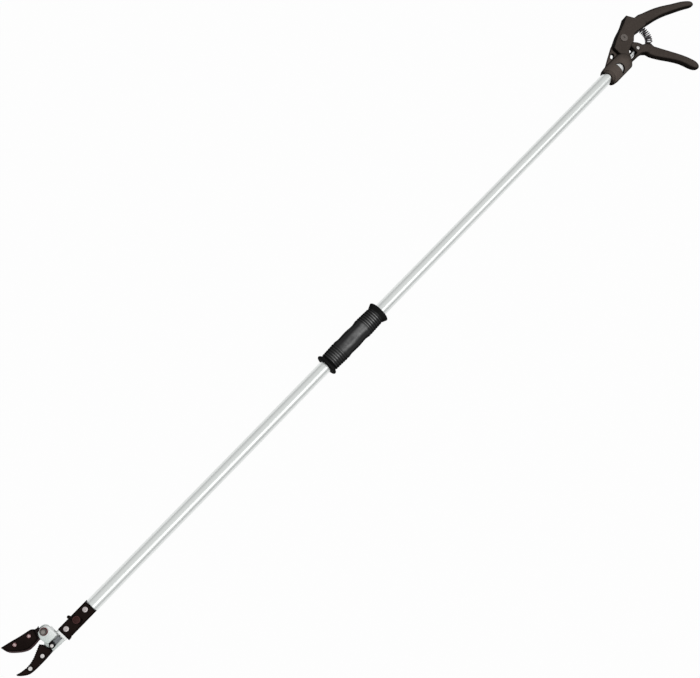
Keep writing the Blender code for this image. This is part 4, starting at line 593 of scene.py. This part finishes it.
@dataclass(frozen=True)
class DarkEndFork(Finish):
    """Grey steel that is black towards one end."""

    grain: Layer = Layer(0.004)
    strength: float = 0.4
    dark: Colour = (0.012, 0.012, 0.013)
    grey_step: Span = (0.0, 1.0)
    wander: float = 0.004

    def paint(self, tree: Tree) -> Values:
        """Lay the black end and the grey end.

        Args:
            tree: The material's tree.

        Returns:
            The shader's inputs.
        """
        cloud = self.grain.clouds(tree)
        grey = (tree.along() + (cloud - 0.5) * self.wander).ramp(self.grey_step)
        tone = self.toned(tree, cloud.ramp(self.grain.step))
        return self.fed(tree, tree.blend(grey, self.dark, tone), self.swung(cloud), cloud)


@dataclass(frozen=True)
class SandCast(Finish):
    """Bare cast metal, blasted to a fine even grain, with painted shade on its edges and a brighter end."""

    grain: Layer = Layer(0.00035, 3.0, 0.7, share=0.2)
    strength: float = 0.05
    gloss_swing: float = 0.10
    stain: Layer = Layer(0.008, 5.0, 0.6, (0.40, 0.72), 0.6)
    # Painted shade along the edges: its width, share and gain.
    edge_width: float = 0.0024
    edge_shade_share: float = 0.45
    edge_shade_gain: float = 0.55
    bright: Colour = (0.95, 0.965, 0.955)
    bright_step: Span = (-0.7680, -0.7430)

    def paint(self, tree: Tree) -> Values:
        """Lay the blasted grain, faint stains, the bright end and the painted shade at the edges.

        Args:
            tree: The material's tree.

        Returns:
            The shader's inputs.
        """
        grain = self.grain.clouds(tree)
        dark = self.stain.mask(tree) + grain * self.grain.share
        body = tree.blend(dark, self.colour, scaled(self.colour, 1.0 - self.spread))
        body = tree.blend(tree.along().ramp(self.bright_step), body, self.bright)
        # Painted shade along the edges.
        rim = tree.edges(self.edge_width) * self.edge_shade_share
        body = tree.blend(rim, body, scaled(self.colour, self.edge_shade_gain))
        return self.fed(tree, body, self.swung(grain), grain)


@dataclass(frozen=True)
class CoatedSteel(Finish):
    """Dark coated blade steel with fine lines ground across it, painted shade on its edges and a little
    shine.
    """

    grain: Layer = Layer(0.00022, 2.0, share=0.3)
    strength: float = 0.4
    turn: float = 0.9
    run: float = 12.0
    worn: Layer = Layer(0.006, 5.0, 0.65, (0.50, 0.75), 0.5)
    light: float = 4.0
    # Painted shade along the edges: its width, share and gain.
    edge_width: float = 0.0030
    edge_shade_share: float = 0.8
    edge_shade_gain: float = 0.25

    def paint(self, tree: Tree) -> Values:
        """Lay the ground lines, the worn patches and the painted shade at the edges.

        Args:
            tree: The material's tree.

        Returns:
            The shader's inputs.
        """
        turned = tree.node("ShaderNodeMapping", {"vector_type": "POINT"}, {
            "Vector": tree.node("ShaderNodeTexCoord").outputs["Object"], "Rotation": (0.0, 0.0, self.turn),
            "Scale": (1.0 / self.grain.size, self.run, self.run)}).outputs[0]
        inputs = {"Vector": turned, "Scale": 1.0, "Detail": self.grain.detail}
        lines = tree.wire("ShaderNodeTexNoise", None, inputs, "Fac")
        pale = self.worn.mask(tree) + lines * self.grain.share
        body = tree.blend(pale, self.colour, scaled(self.colour, 1.0 + self.light * self.spread))
        # Painted shade along the edges.
        rim = tree.edges(self.edge_width) * self.edge_shade_share
        body = tree.blend(rim, body, scaled(self.colour, self.edge_shade_gain))
        return self.fed(tree, body, self.swung(lines), lines)


HANDLE_PAINT = CastPaint("handle_cast_paint", "handle_paint", (0.064, 0.052, 0.045), 0.52, specular=0.03,
                         edge_width=0.0026, side_shade_step=(0.42, 0.88), depth=0.00008,
                         rubbed=(0.13, 0.115, 0.10))
# A copy of the handle paint with wider painted shade on the sides, for the arm and the lever.
ARM_SHADED_PAINT = replace(HANDLE_PAINT, name="arm_shaded_cast_paint", edge_width=0.0055, side_shade_step=(0.02, 0.26))
BLACK_PAINT = CastPaint("black_powder_paint", "black_paint", (0.0128, 0.0080, 0.0070), 0.45, specular=0.02,
                        spread=0.3, grain=Layer(0.0007, 2.0, 0.4), edge_width=0.0045, depth=0.00004,
                        rubbed=(0.030, 0.020, 0.019))
TUBE_METAL = DrawnMetal("drawn_aluminium", "aluminium", (0.78, 0.80, 0.79), 0.30, 1.0, spread=0.05)
GRIP_RUBBER = MouldedRubber("grip_rubber_skin", "grip_rubber", (0.026, 0.026, 0.0265), 0.42, specular=0.12,
                            depth=0.00006)
CAST_SILVER = SandCast("blasted_casting", "cast_silver", (0.67, 0.73, 0.705), 0.50, 0.60, spread=0.10)
NECK_SILVER = replace(CAST_SILVER, name="blasted_neck", colour=(0.86, 0.895, 0.88))
BLADE_COAT = CoatedSteel("blade_coating_dark", "blade_coating", (0.0130, 0.0090, 0.0090), 0.42, 0.05,
                         specular=0.03, spread=0.3)
BLADE_EDGE = CoatedSteel("ground_edge_steel", "blade_coating", (0.050, 0.020, 0.021), 0.40, 0.4, spread=0.1)
# The darker rims of the rivets and screws are painted shade round their domes.
RIVET_STEEL = DomedSteel("bright_rivet_steel", "rivet_steel", (0.66, 0.635, 0.62), 0.34, 1.0, spread=0.06)
SCREW_STEEL = replace(RIVET_STEEL, name="screw_steel", colour=(0.55, 0.50, 0.495))
BLADE_RIVET = replace(RIVET_STEEL, name="coated_rivet_steel", colour=(0.76, 0.63, 0.62), roughness=0.36,
                      rim=(0.10, 0.010, 0.014), rim_width=0.0032)
ZINC = Finish("zinc_plate", "zinc", (0.56, 0.57, 0.57), 0.32, 1.0, spread=0.10)
DARK_STEEL = Finish("oiled_dark_steel", "dark_steel", (0.16, 0.17, 0.18), 0.38, 1.0, spread=0.15)
FORK_STEEL = DarkEndFork("fork_steel", "dark_steel", (0.20, 0.21, 0.22), 0.38, 1.0, spread=0.12)
# Its near-black rim is painted shade round the rivet.
PIVOT_STEEL = DomedSteel("painted_rivet", "dark_steel", (0.158, 0.138, 0.125), 0.42, 0.1, specular=0.2,
                         spread=0.12, rim=(0.015, 0.012, 0.011))
BOLT_STEEL = Finish("bolt_end_steel", "zinc", (0.30, 0.275, 0.255), 0.34, 0.9, spread=0.2)
NUT_STEEL = replace(BOLT_STEEL, name="browned_nut_steel", colour=(0.11, 0.11, 0.10))
RED_WASHER = Finish("dark_red_washer", "red_washer", (0.15, 0.030, 0.034), 0.45, 0.1, specular=0.25,
                    spread=0.2, depth=0.00003)
# Its lighter rim is a painted highlight on the button.
BUTTON_PLASTIC = DomedSteel("button_plastic", "button_brown", (0.043, 0.0150, 0.0130), 0.30, specular=0.10,
                            spread=0.15, depth=0.00003, rim=(0.20, 0.085, 0.085))
# A pale ring that stands in for the bright light in the socket's window.
WINDOW_HIGHLIGHT_BUSH = Finish("window_highlight_bush_finish", "aluminium", (0.90, 0.91, 0.90), 0.55, spread=0.04)
SPRING_WIRE = Finish("spring_wire", "spring_steel", (0.095, 0.086, 0.095), 0.28, 1.0, spread=0.10)


def linked(name: str, data: Any) -> bpy.types.Object:
    """Add an object to the scene.

    Args:
        name: Its name.
        data: Its mesh, curve, light or camera.

    Returns:
        The object.
    """
    made = bpy.data.objects.new(name, data)
    bpy.context.scene.collection.objects.link(made)
    return made


class Workshop:
    """Ways to make and finish meshes."""

    made: ClassVar[int] = 0

    @staticmethod
    def add(name: str, mesh: bpy.types.Mesh, finish: Finish, body: Body, replaces: Sequence[str] = (),
            smooth: float = ROUND_ANGLE) -> bpy.types.Object:
        """Add a finished mesh to the scene as a piece on a body.

        Args:
            name: The piece's name.
            mesh: Its mesh, in metres in the part's own frame.
            finish: What it is finished with.
            body: The body that it moves with.
            replaces: The nodes that it stands for.
            smooth: The largest angle in degrees that is shaded as round.

        Returns:
            The piece.
        """
        mesh.shade_smooth()
        mesh.set_sharp_from_angle(angle=math.radians(smooth))
        scratch = linked("scratch", mesh)
        scratch.modifiers.new("Flats", "WEIGHTED_NORMAL").keep_sharp = True
        mesh = Workshop.evaluated(scratch)
        piece = linked(name, mesh)
        mesh.materials.clear()
        mesh.materials.append(finish.material())
        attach(piece, body.value)
        if replaces:
            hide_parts(*replaces)
        Workshop.made += 1
        LOG.info("%s rides on %s, %d faces", name, body.value, len(mesh.polygons))
        return piece

    @staticmethod
    def evaluated(piece: bpy.types.Object) -> bpy.types.Mesh:
        """Return the mesh of a scratch object with its modifiers in it, and remove the object.

        Args:
            piece: The scratch object.

        Returns:
            The new mesh.
        """
        bpy.context.view_layer.update()
        graph = bpy.context.evaluated_depsgraph_get()
        mesh = bpy.data.meshes.new_from_object(piece.evaluated_get(graph))
        bpy.data.objects.remove(piece, do_unlink=True)
        return mesh

    @staticmethod
    def welded(node: str) -> bpy.types.Mesh:
        """Return a clean copy of a node's mesh: welded, with its flats as single faces.

        Args:
            node: The node's name.

        Returns:
            The copy.
        """
        shape = bmesh.new()
        shape.from_mesh(frame["nodes"][node].data)
        bmesh.ops.remove_doubles(shape, verts=shape.verts, dist=WELD_DISTANCE)
        bmesh.ops.dissolve_limit(shape, angle_limit=FLAT_ANGLE, verts=shape.verts, edges=shape.edges)
        mesh = bpy.data.meshes.new(node + "_clean")
        shape.to_mesh(mesh)
        shape.free()
        for name in [attribute.name for attribute in mesh.attributes]:
            if name.startswith("custom_normal"):
                mesh.attributes.remove(mesh.attributes[name])
        return mesh

    @staticmethod
    def turned(name: str, profile: Sequence[Point], centre: Vector,
               steps: int = ROUND_STEPS) -> bpy.types.Mesh:
        """Turn a ring with its axis along the tube from its profile.

        Args:
            name: The mesh's name.
            profile: Radii and heights along the axis, in order round the section.
            centre: The point that the heights are measured from.
            steps: How many steps there are round it.

        Returns:
            The mesh.
        """
        mesh = bpy.data.meshes.new(name)
        edges = [(i, (i + 1) % len(profile)) for i in range(len(profile))]
        mesh.from_pydata([(radius, 0.0, height) for radius, height in profile], edges, [])
        scratch = linked("scratch", mesh)
        screw = scratch.modifiers.new("Turn", "SCREW")
        screw.axis = "Z"
        screw.steps = steps
        screw.use_merge_vertices = True
        screw.merge_threshold = MERGE_DISTANCE
        done = Workshop.evaluated(scratch)
        done.transform(Matrix.Translation(centre) @ Matrix.Rotation(math.pi / 2, 4, "Y"))
        return done

    @staticmethod
    def wire_mesh(name: str, points: Sequence[Vector], radius: float) -> bpy.types.Mesh:
        """Make a round wire through points.

        Args:
            name: The mesh's name.
            points: The wire's centre line.
            radius: Its radius in metres.

        Returns:
            The mesh.
        """
        curve = bpy.data.curves.new(name, "CURVE")
        curve.dimensions = "3D"
        curve.bevel_depth = radius
        curve.bevel_resolution = WIRE_ROUNDING
        curve.use_fill_caps = True
        spline = curve.splines.new("POLY")
        spline.points.add(len(points) - 1)
        for point, spot in zip(spline.points, points):
            point.co = (*spot, 1.0)
        mesh = Workshop.evaluated(linked("scratch", curve))
        shape = bmesh.new()
        shape.from_mesh(mesh)
        bmesh.ops.remove_doubles(shape, verts=shape.verts, dist=WELD_DISTANCE)
        shape.to_mesh(mesh)
        shape.free()
        return mesh


@dataclass(frozen=True)
class Part:
    """A copy of a node with softened edges, which stands in the node's place.

    Its width is in metres, and 0 leaves the edges sharp. Its angles are in degrees: the least that is
    softened and the largest that is shaded as round.
    """

    node: str
    name: str
    finish: Finish
    width: float = 0.0
    body: Body = Body.FRAME
    segments: int = 2
    angle: float = 40.0
    smooth: float = ROUND_ANGLE

    def build(self) -> bpy.types.Object:
        """Build the copy.

        Returns:
            The new piece.
        """
        scratch = linked("scratch", Workshop.welded(self.node))
        if self.width:
            bevel = scratch.modifiers.new("Edges", "BEVEL")
            bevel.width = self.width
            bevel.segments = self.segments
            bevel.limit_method = "ANGLE"
            bevel.angle_limit = math.radians(self.angle)
            bevel.miter_outer = "MITER_ARC"
        mesh = Workshop.evaluated(scratch)
        return Workshop.add(self.name, mesh, self.finish, self.body, (self.node,), self.smooth)


def build_all(parts: Sequence[Part]) -> None:
    """Build each of some parts."""
    for part in parts:
        part.build()


def middle_and_half(node: str) -> tuple[Vector, Vector]:
    """Return the middle of a node's box and half its size."""
    low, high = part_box(node)
    return (low + high) / 2, (high - low) / 2


@dataclass
class LongTube:
    """The long aluminium tube and the rubber grip on it.

    A rib's points are shares of its pitch and lifts. A flange's points are drops below its rim, and a
    cone's are lifts over the skin, each with the distance from the grip's end. The swells' points are
    shares of the way between the ribs and radii.
    """

    wall: float = 0.0012
    end_round: float = 0.0003
    tube_steps: int = 128
    rib_pitch: float = 0.0044
    rib_depth: float = 0.0008
    rib_growth: float = 0.7
    rib_sink: float = 0.0002
    ribs_per_end: int = 6
    rib_shape: Points = ((0.08, 0.0), (0.22, 0.85), (0.38, 1.0), (0.54, 1.0), (0.70, 0.85), (0.86, 0.0))
    flange_length: float = 0.0080
    cone_length: float = 0.0120
    skin: float = 0.0159
    crest: float = 0.0174
    bore: float = 0.0113
    upper_flange: Points = ((0.0022, 0.0), (0.0008, 0.0003), (0.0001, 0.0010), (0.0001, 0.0020),
                            (0.0009, 0.0036))
    upper_cone: Points = ((0.0012, 0.0080), (0.0, 0.0104), (-0.0007, 0.0120))
    lower_cone: Points = ((-0.0007, 0.0079), (0.0, 0.0066), (0.0012, 0.0056))
    lower_flange: Points = ((0.0008, 0.0042), (0.0001, 0.0032), (0.0001, 0.0016), (0.0010, 0.0004),
                            (0.0022, 0.0))
    swells: Points = ((0.04, 0.0174), (0.21, 0.0160), (0.51, 0.0169), (0.79, 0.0164), (0.94, 0.0174))
    steps_per_swell: int = 8
    grip_smooth: float = 50.0

    def build(self) -> None:
        """Build the tube and the grip."""
        self._build_tube()
        self._build_grip()

    def _build_tube(self) -> None:
        """Build the tube with slightly rounded ends."""
        centre, half = middle_and_half("tube")
        length, outer, inner = half.x, half.z, half.z - self.wall
        edge = self.end_round
        profile = [(inner, length - edge), (inner + edge, length), (outer - edge, length),
                   (outer, length - edge), (outer, edge - length), (outer - edge, -length),
                   (inner + edge, -length), (inner, edge - length)]
        mesh = Workshop.turned("long_tube", profile, centre, self.tube_steps)
        Workshop.add("long_tube", mesh, TUBE_METAL, Body.FRAME, ("tube",))

    def _ribs(self, start: float, end: float, rising: bool) -> list[Point]:
        """Return the profile of a ribbed stretch.

        Args:
            start: The height where it starts.
            end: The height where it ends, below the start.
            rising: Whether the ribs grow on the way.

        Returns:
            Radii and heights.
        """
        points: list[Point] = []
        pitch = (start - end) / self.ribs_per_end
        reach = (self.crest - self.skin) * self.rib_growth
        for k in range(self.ribs_per_end):
            grown = (k + 0.5) / self.ribs_per_end
            base = self.skin + reach * (grown if rising else 1.0 - grown) - self.rib_sink
            points += [(base + self.rib_depth * lift, start - (k + share) * pitch)
                       for share, lift in self.rib_shape]
        return points

    def _waist(self, start: float, end: float) -> list[Point]:
        """Return the profile of the soft swells between the ribbed stretches.

        Args:
            start: The height where it starts.
            end: The height where it ends, below the start.

        Returns:
            Radii and heights.
        """
        points: list[Point] = []
        for (left, radius), (right, next_radius) in zip(self.swells, self.swells[1:]):
            for step in range(self.steps_per_swell):
                share = step / self.steps_per_swell
                soft = 0.5 - 0.5 * math.cos(share * math.pi)
                place = left + (right - left) * share
                points.append((radius + (next_radius - radius) * soft, start + (end - start) * place))
        place, radius = self.swells[-1]
        points.append((radius, start + (end - start) * place))
        return points

    def _build_grip(self) -> None:
        """Build the grip with its two flanges, its ribs and its soft swells."""
        centre, size = middle_and_half("mid_grip")
        half, flange = size.x, size.z
        ribs = self.ribs_per_end * self.rib_pitch
        upper = half - self.cone_length
        lower = self.flange_length - half
        points: list[Point] = [(self.bore, half)]
        points += [(flange - drop, half - run) for drop, run in self.upper_flange]
        points += [(self.skin + lift, half - run) for lift, run in self.upper_cone]
        points += self._ribs(upper, upper - ribs, True)
        points += self._waist(upper - ribs, lower + ribs)
        points += self._ribs(lower + ribs, lower, False)
        points += [(self.skin + lift, run - half) for lift, run in self.lower_cone]
        points += [(flange - drop, run - half) for drop, run in self.lower_flange]
        points.append((self.bore, -half))
        mesh = Workshop.turned("grip_sleeve", points, centre)
        rubber = replace(GRIP_RUBBER, middle=centre.x, half=half)
        Workshop.add("grip_sleeve", mesh, rubber, Body.FRAME, ("mid_grip",), self.grip_smooth)


@dataclass
class JawHead:
    """The casting at the head, the hooked jaw, the moving blade and their fasteners."""

    ground_slopes: Span = (0.25, 0.97)
    rivet_edge: float = 0.00022
    rivet_segments: int = 3
    parts: tuple[Part, ...] = (
        Part("head_body", "head_casting", CAST_SILVER, 0.0004),
        Part("hook_jaw", "hooked_jaw", BLACK_PAINT, 0.00025),
        Part("blade_holder", "stem_holder", BLACK_PAINT, 0.0003, Body.BLADE),
        Part("hub_washer", "hub_spacer", ZINC, body=Body.BLADE),
        Part("pivot_bolt", "blade_bolt", BOLT_STEEL, 0.0002),
        Part("pivot_nut", "blade_nut", NUT_STEEL, 0.0002),
        Part("pivot_washer", "blade_washer", RED_WASHER),
    )
    rivets: tuple[tuple[str, Finish, Body], ...] = (
        ("hook_rivet", RIVET_STEEL, Body.FRAME), ("blade_rivet", BLADE_RIVET, Body.BLADE))

    def build(self) -> None:
        """Build the head."""
        build_all(self.parts)
        self._build_blade()
        for pair, finish, body in self.rivets:
            for node in (pair + "_front", pair + "_rear"):
                Part(node, node + "_domed", finish, self.rivet_edge, body, self.rivet_segments).build()

    def _build_blade(self) -> None:
        """Build the coated blade with the strip along its cutting edge in its own finish."""
        mesh = Part("cutting_blade", "curved_blade", BLADE_COAT, body=Body.BLADE).build().data
        mesh.materials.append(BLADE_EDGE.material())
        steep, flat = self.ground_slopes
        for face in mesh.polygons:
            if steep < face.normal.z < flat:
                face.material_index = 1


@dataclass
class HeadBracket:
    """The folded bracket with its screws, the block in the tube's end and the lock on it."""

    parts: tuple[Part, ...] = (
        Part("head_bracket", "folded_bracket", BLACK_PAINT, 0.0005),
        Part("tube_block", "tube_plug", NECK_SILVER, 0.0004),
        Part("neck_screw", "neck_screw_head", SCREW_STEEL, 0.00012),
        Part("tube_screw", "tube_screw_head", SCREW_STEEL, 0.00012),
        Part("lock_lever", "lock_tab", BLACK_PAINT, 0.0003, Body.LOCK),
        Part("lock_button", "lock_knob", BUTTON_PLASTIC, body=Body.LOCK),
        Part("lock_catch", "lock_cam", DARK_STEEL, 0.0002, Body.LOCK),
    )

    def build(self) -> None:
        """Build the bracket and the lock."""
        build_all(self.parts)


@dataclass
class PullRod:
    """The rod through the tube with its ends."""

    fork_edge: float = 0.0003
    fork_grey: Span = (0.0040, 0.0075)
    parts: tuple[Part, ...] = (
        Part("pull_rod", "steel_rod", ZINC, body=Body.ROD),
        Part("rod_eye", "rod_end_eye", ZINC, 0.0003, Body.ROD),
        Part("lock_nut", "rod_lock_nut", ZINC, 0.00015, Body.ROD),
        Part("adjusting_nut", "rod_adjusting_nut", ZINC, 0.00015, Body.ROD),
        Part("rod_collar", "rod_stop_collar", DARK_STEEL, 0.0003, Body.ROD),
        Part("blade_pin", "blade_fork_pin", RIVET_STEEL, body=Body.ROD),
        Part("blade_pin_clip", "blade_fork_clip", DARK_STEEL, body=Body.ROD),
        Part("rod_pin", "lever_rod_pin", RIVET_STEEL, body=Body.TRIGGER),
    )

    def build(self) -> None:
        """Build the rod and its fork."""
        build_all(self.parts)
        pin = middle_and_half("blade_pin")[0].x
        fork = replace(FORK_STEEL, grey_step=(pin + self.fork_grey[0], pin + self.fork_grey[1]))
        Part("blade_clevis", "blade_fork", fork, self.fork_edge, Body.ROD).build()


@dataclass
class SqueezeHandle:
    """The cast handle, the squeeze lever, their rivet and the return spring.

    Places along the tool are measured from the lever's pivot.
    """

    housing_edge: float = 0.0005
    lever_edge: float = 0.0004
    screw_edge: float = 0.0002
    cast_angle: float = 50.0
    cast_smooth: float = 42.0
    arm_from: float = 0.030
    # Painted light on the socket end of the handle: where it fades, from the pivot, and its share.
    painted_light_step: Span = (-0.040, -0.022)
    painted_light_share: float = 0.48
    bush_radius: float = 0.0142
    bush_gap: float = 0.0001
    bush_chamfer: float = 0.0003
    bush_ends: Span = (-0.0563, -0.0430)
    wire: float = 0.0021
    outside: float = 0.0138
    curls: float = 12.0
    points_per_curl: int = 18
    curl_reach: Span = (0.03, 0.97)
    look_ahead: float = 0.005
    top: Point = (0.0445, 0.0033)
    foot: Point = (0.0350, -0.0409)
    top_pull: Point = (0.0060, -0.0600)
    foot_pull: Point = (-0.0510, -0.0310)
    pivot: Vector = field(default_factory=lambda: Vector(JOINTS["trigger_squeeze"]["pos_m"]))

    def build(self) -> None:
        """Build the handle, the lever, the rivet and the spring."""
        self._build_castings()
        Part("trigger_rivet", "lever_rivet", PIVOT_STEEL).build()
        Part("socket_screw", "socket_set_screw", ZINC, self.screw_edge).build()
        self._build_bush()
        self._build_spring()

    def _build_castings(self) -> None:
        """Build the handle, with its arm in the lever's paint, which has wider painted shade on its sides,
        and the lever.
        """
        start, end = self.painted_light_step
        paint = replace(HANDLE_PAINT, painted_light_step=(self.pivot.x + start, self.pivot.x + end),
                        painted_light_share=self.painted_light_share)
        housing = Part("handle_housing", "handle_casting", paint, self.housing_edge,
                       angle=self.cast_angle, smooth=self.cast_smooth)
        mesh = housing.build().data
        mesh.materials.append(ARM_SHADED_PAINT.material())
        for face in mesh.polygons:
            if face.center.x > self.pivot.x + self.arm_from:
                face.material_index = 1
        replace(housing, node="trigger_lever", name="squeeze_lever", finish=ARM_SHADED_PAINT, width=self.lever_edge,
                body=Body.TRIGGER).build()

    def _build_bush(self) -> None:
        """Build the pale bush round the tube in the socket's window, a guessed part that stands in for the
        bright light there.
        """
        centre, half = middle_and_half("tube")
        inner = half.z + self.bush_gap
        start, end = self.bush_ends
        outer, chamfer = self.bush_radius, self.bush_chamfer
        profile = [(inner, end), (outer - chamfer, end), (outer, end - chamfer), (outer, start + chamfer),
                   (outer - chamfer, start), (inner, start)]
        centre.x = self.pivot.x
        Workshop.add("window_highlight_bush", Workshop.turned("window_highlight_bush", profile, centre), WINDOW_HIGHLIGHT_BUSH, Body.FRAME)

    def _path(self, share: float) -> Vector:
        """Return a point of the spring's bent centre line, measured from the pivot.

        Args:
            share: 0 at the handle's roof and 1 at the lever.

        Returns:
            The point.
        """
        square, cube = share ** 2, share ** 3
        top, foot = Vector(self.top), Vector(self.foot)
        leave, arrive = Vector(self.top_pull), Vector(self.foot_pull)
        return ((2 * cube - 3 * square + 1) * top + (cube - 2 * square + share) * leave
                + (3 * square - 2 * cube) * foot + (cube - square) * arrive)

    def _curls(self) -> list[Vector]:
        """Wind the wire round the spring's centre line.

        Returns:
            The wire's points.
        """
        radius = (self.outside - self.wire) / 2
        count = int(self.curls * self.points_per_curl)
        first, last = self.curl_reach
        points: list[Vector] = []
        for i in range(count + 1):
            place = first + (last - first) * i / count
            ahead = (self._path(place + self.look_ahead) - self._path(place - self.look_ahead)).normalized()
            angle = math.tau * self.curls * i / count
            spot = self._path(place) + Vector((-ahead.y, ahead.x)) * radius * math.cos(angle)
            points.append(self.pivot + Vector((spot.x, spot.y, radius * math.sin(angle))))
        return points

    def _build_spring(self) -> None:
        """Build the spring, which bends between the handle and the lever."""
        mesh = Workshop.wire_mesh("return_spring_wire", self._curls(), self.wire / 2)
        piece = linked("return_spring_wire", mesh)
        mesh.materials.append(SPRING_WIRE.material())
        mesh.shade_smooth()
        top = self.pivot + self._path(0.0).to_3d()
        foot = self.pivot + self._path(1.0).to_3d()
        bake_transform(piece, Body.FRAME.value, Body.TRIGGER.value, start=top, end=foot)
        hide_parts("return_spring")
        Workshop.made += 1
        LOG.info("return_spring_wire bends between frame and trigger, %d faces", len(mesh.polygons))


@dataclass
class PhotoCamera:
    """The camera of the photograph, placed from the blade's pivot."""

    lens: float = 50.0
    sensor: float = 36.0
    reach: Span = (0.05, 60.0)
    offset: Triple = (0.27715, -0.02194, 1.57738)
    right: Triple = (0.67949, -0.71526, 0.16341)
    up: Triple = (0.69543, 0.69886, 0.16725)
    back: Triple = (-0.23383, 0.0, 0.97228)

    def build(self) -> None:
        """Make the camera."""
        data = bpy.data.cameras.new("photo_camera")
        data.lens = self.lens
        data.sensor_width = self.sensor
        data.sensor_fit = "HORIZONTAL"
        data.clip_start, data.clip_end = self.reach
        camera = linked("photo_camera", data)
        place = Matrix((self.right, self.up, self.back)).transposed().to_4x4()
        place.translation = Vector(JOINTS["blade_close"]["pos_m"]) + Vector(self.offset)
        camera.matrix_world = place
        bpy.context.scene.camera = camera


@dataclass(frozen=True)
class Lamp:
    """A soft lamp over the tool, with the sides of its face in metres and its power in watts."""

    name: str
    place: Triple
    length: float
    width: float
    power: float
    shines: bool = True

    def build(self) -> None:
        """Hang the lamp so that it faces the tool's middle, with its long side along X."""
        data = bpy.data.lights.new(self.name, "AREA")
        data.shape = "RECTANGLE"
        data.size = self.length
        data.size_y = self.width
        data.energy = self.power
        lamp = linked(self.name, data)
        lamp.location = self.place
        lamp.visible_glossy = self.shines
        ahead = -Vector(self.place).normalized()
        across = Vector((1.0, 0.0, 0.0))
        across = (across - ahead * across.dot(ahead)).normalized()
        turn = Matrix((across, (-ahead).cross(across), -ahead)).transposed()
        lamp.rotation_euler = turn.to_euler()


@dataclass
class Studio:
    """The white floor, the soft lamps and the pale surroundings."""

    floor_size: float = 30.0
    floor_drop: float = 0.0004
    floor_tone: Colour = (0.30, 0.30, 0.30)
    shadow_share: float = 0.02
    horizon: Colour = (0.545, 0.55, 0.55)
    zenith: Colour = (0.88, 0.885, 0.88)
    shine_step: Span = (0.0, 0.9)
    below: Colour = (0.04, 0.04, 0.04)
    dome_step: Span = (-0.1, 1.0)
    dome: float = 0.30
    lamps: tuple[Lamp, ...] = (
        Lamp("long_lamp", (0.0, -0.85, 1.6), 3.4, 0.9, 9.0),
        Lamp("top_lamp", (0.0, 0.0, 3.2), 3.4, 1.6, 50.0, shines=False),
    )

    def build(self) -> None:
        """Make the floor, the surroundings and the lamps."""
        self._build_floor()
        self._build_world()
        for lamp in self.lamps:
            lamp.build()
        bpy.context.scene.view_settings.view_transform = "Standard"

    def _build_floor(self) -> None:
        """Make the floor, white to the camera and in shiny surfaces, with the shadow on it."""
        half = self.floor_size / 2
        corners = [(-half, -half, 0.0), (half, -half, 0.0), (half, half, 0.0), (-half, half, 0.0)]
        mesh = bpy.data.meshes.new("studio_floor")
        mesh.from_pydata(corners, [], [(0, 1, 2, 3)])
        floor = linked("studio_floor", mesh)
        floor.location.z = -self.floor_drop
        material = bpy.data.materials.new("floor_white")
        material.use_nodes = True
        tree = Tree(material.node_tree)
        path = tree.node("ShaderNodeLightPath")
        seen = (Wire(tree, path.outputs["Is Camera Ray"]) + Wire(tree, path.outputs["Is Glossy Ray"])
                + Wire(tree, path.outputs["Is Transmission Ray"])).held()
        matt = tree.node("ShaderNodeBsdfDiffuse", None, {"Color": self.floor_tone})
        glow = tree.node("ShaderNodeEmission", None, {"Color": WHITE, "Strength": 1.0})
        mixed = tree.node("ShaderNodeMixShader", None, {
            0: seen * (1.0 - self.shadow_share), 1: matt.outputs[0], 2: glow.outputs[0]})
        tree.node("ShaderNodeOutputMaterial", None, {"Surface": mixed.outputs[0]})
        mesh.materials.append(material)

    def _build_world(self) -> None:
        """Make the surroundings: white to the camera, pale in shiny surfaces and soft on the rest."""
        world = bpy.data.worlds.new("studio_world")
        bpy.context.scene.world = world
        world.use_nodes = True
        tree = Tree(world.node_tree)
        path = tree.node("ShaderNodeLightPath")
        direction = tree.node("ShaderNodeTexCoord").outputs["Generated"]
        height = tree.wire("ShaderNodeSeparateXYZ", None, {0: direction}, "Z")
        ring = tree.blend(height.ramp(self.shine_step), self.horizon, self.zenith)
        overhead = tree.blend(height.ramp(self.dome_step), self.below, WHITE)
        dome, shine, white = [tree.node("ShaderNodeBackground", None, {"Color": colour, "Strength": strength})
                              for colour, strength in ((overhead, self.dome), (ring, 1.0), (WHITE, 1.0))]
        mixed = tree.node("ShaderNodeMixShader", None, {
            0: path.outputs["Is Glossy Ray"], 1: dome.outputs[0], 2: shine.outputs[0]})
        mixed = tree.node("ShaderNodeMixShader", None, {
            0: path.outputs["Is Camera Ray"], 1: mixed.outputs[0], 2: white.outputs[0]})
        tree.node("ShaderNodeOutputWorld", None, {"Surface": mixed.outputs[0]})


def main() -> None:
    """Build the camera, the studio and the shears."""
    logging.basicConfig(level=logging.INFO, format="%(name)s: %(message)s")
    PhotoCamera().build()
    Studio().build()
    LongTube().build()
    JawHead().build()
    HeadBracket().build()
    PullRod().build()
    SqueezeHandle().build()
    LOG.info("%d pieces built", Workshop.made)


if __name__ == "__main__":
    main()
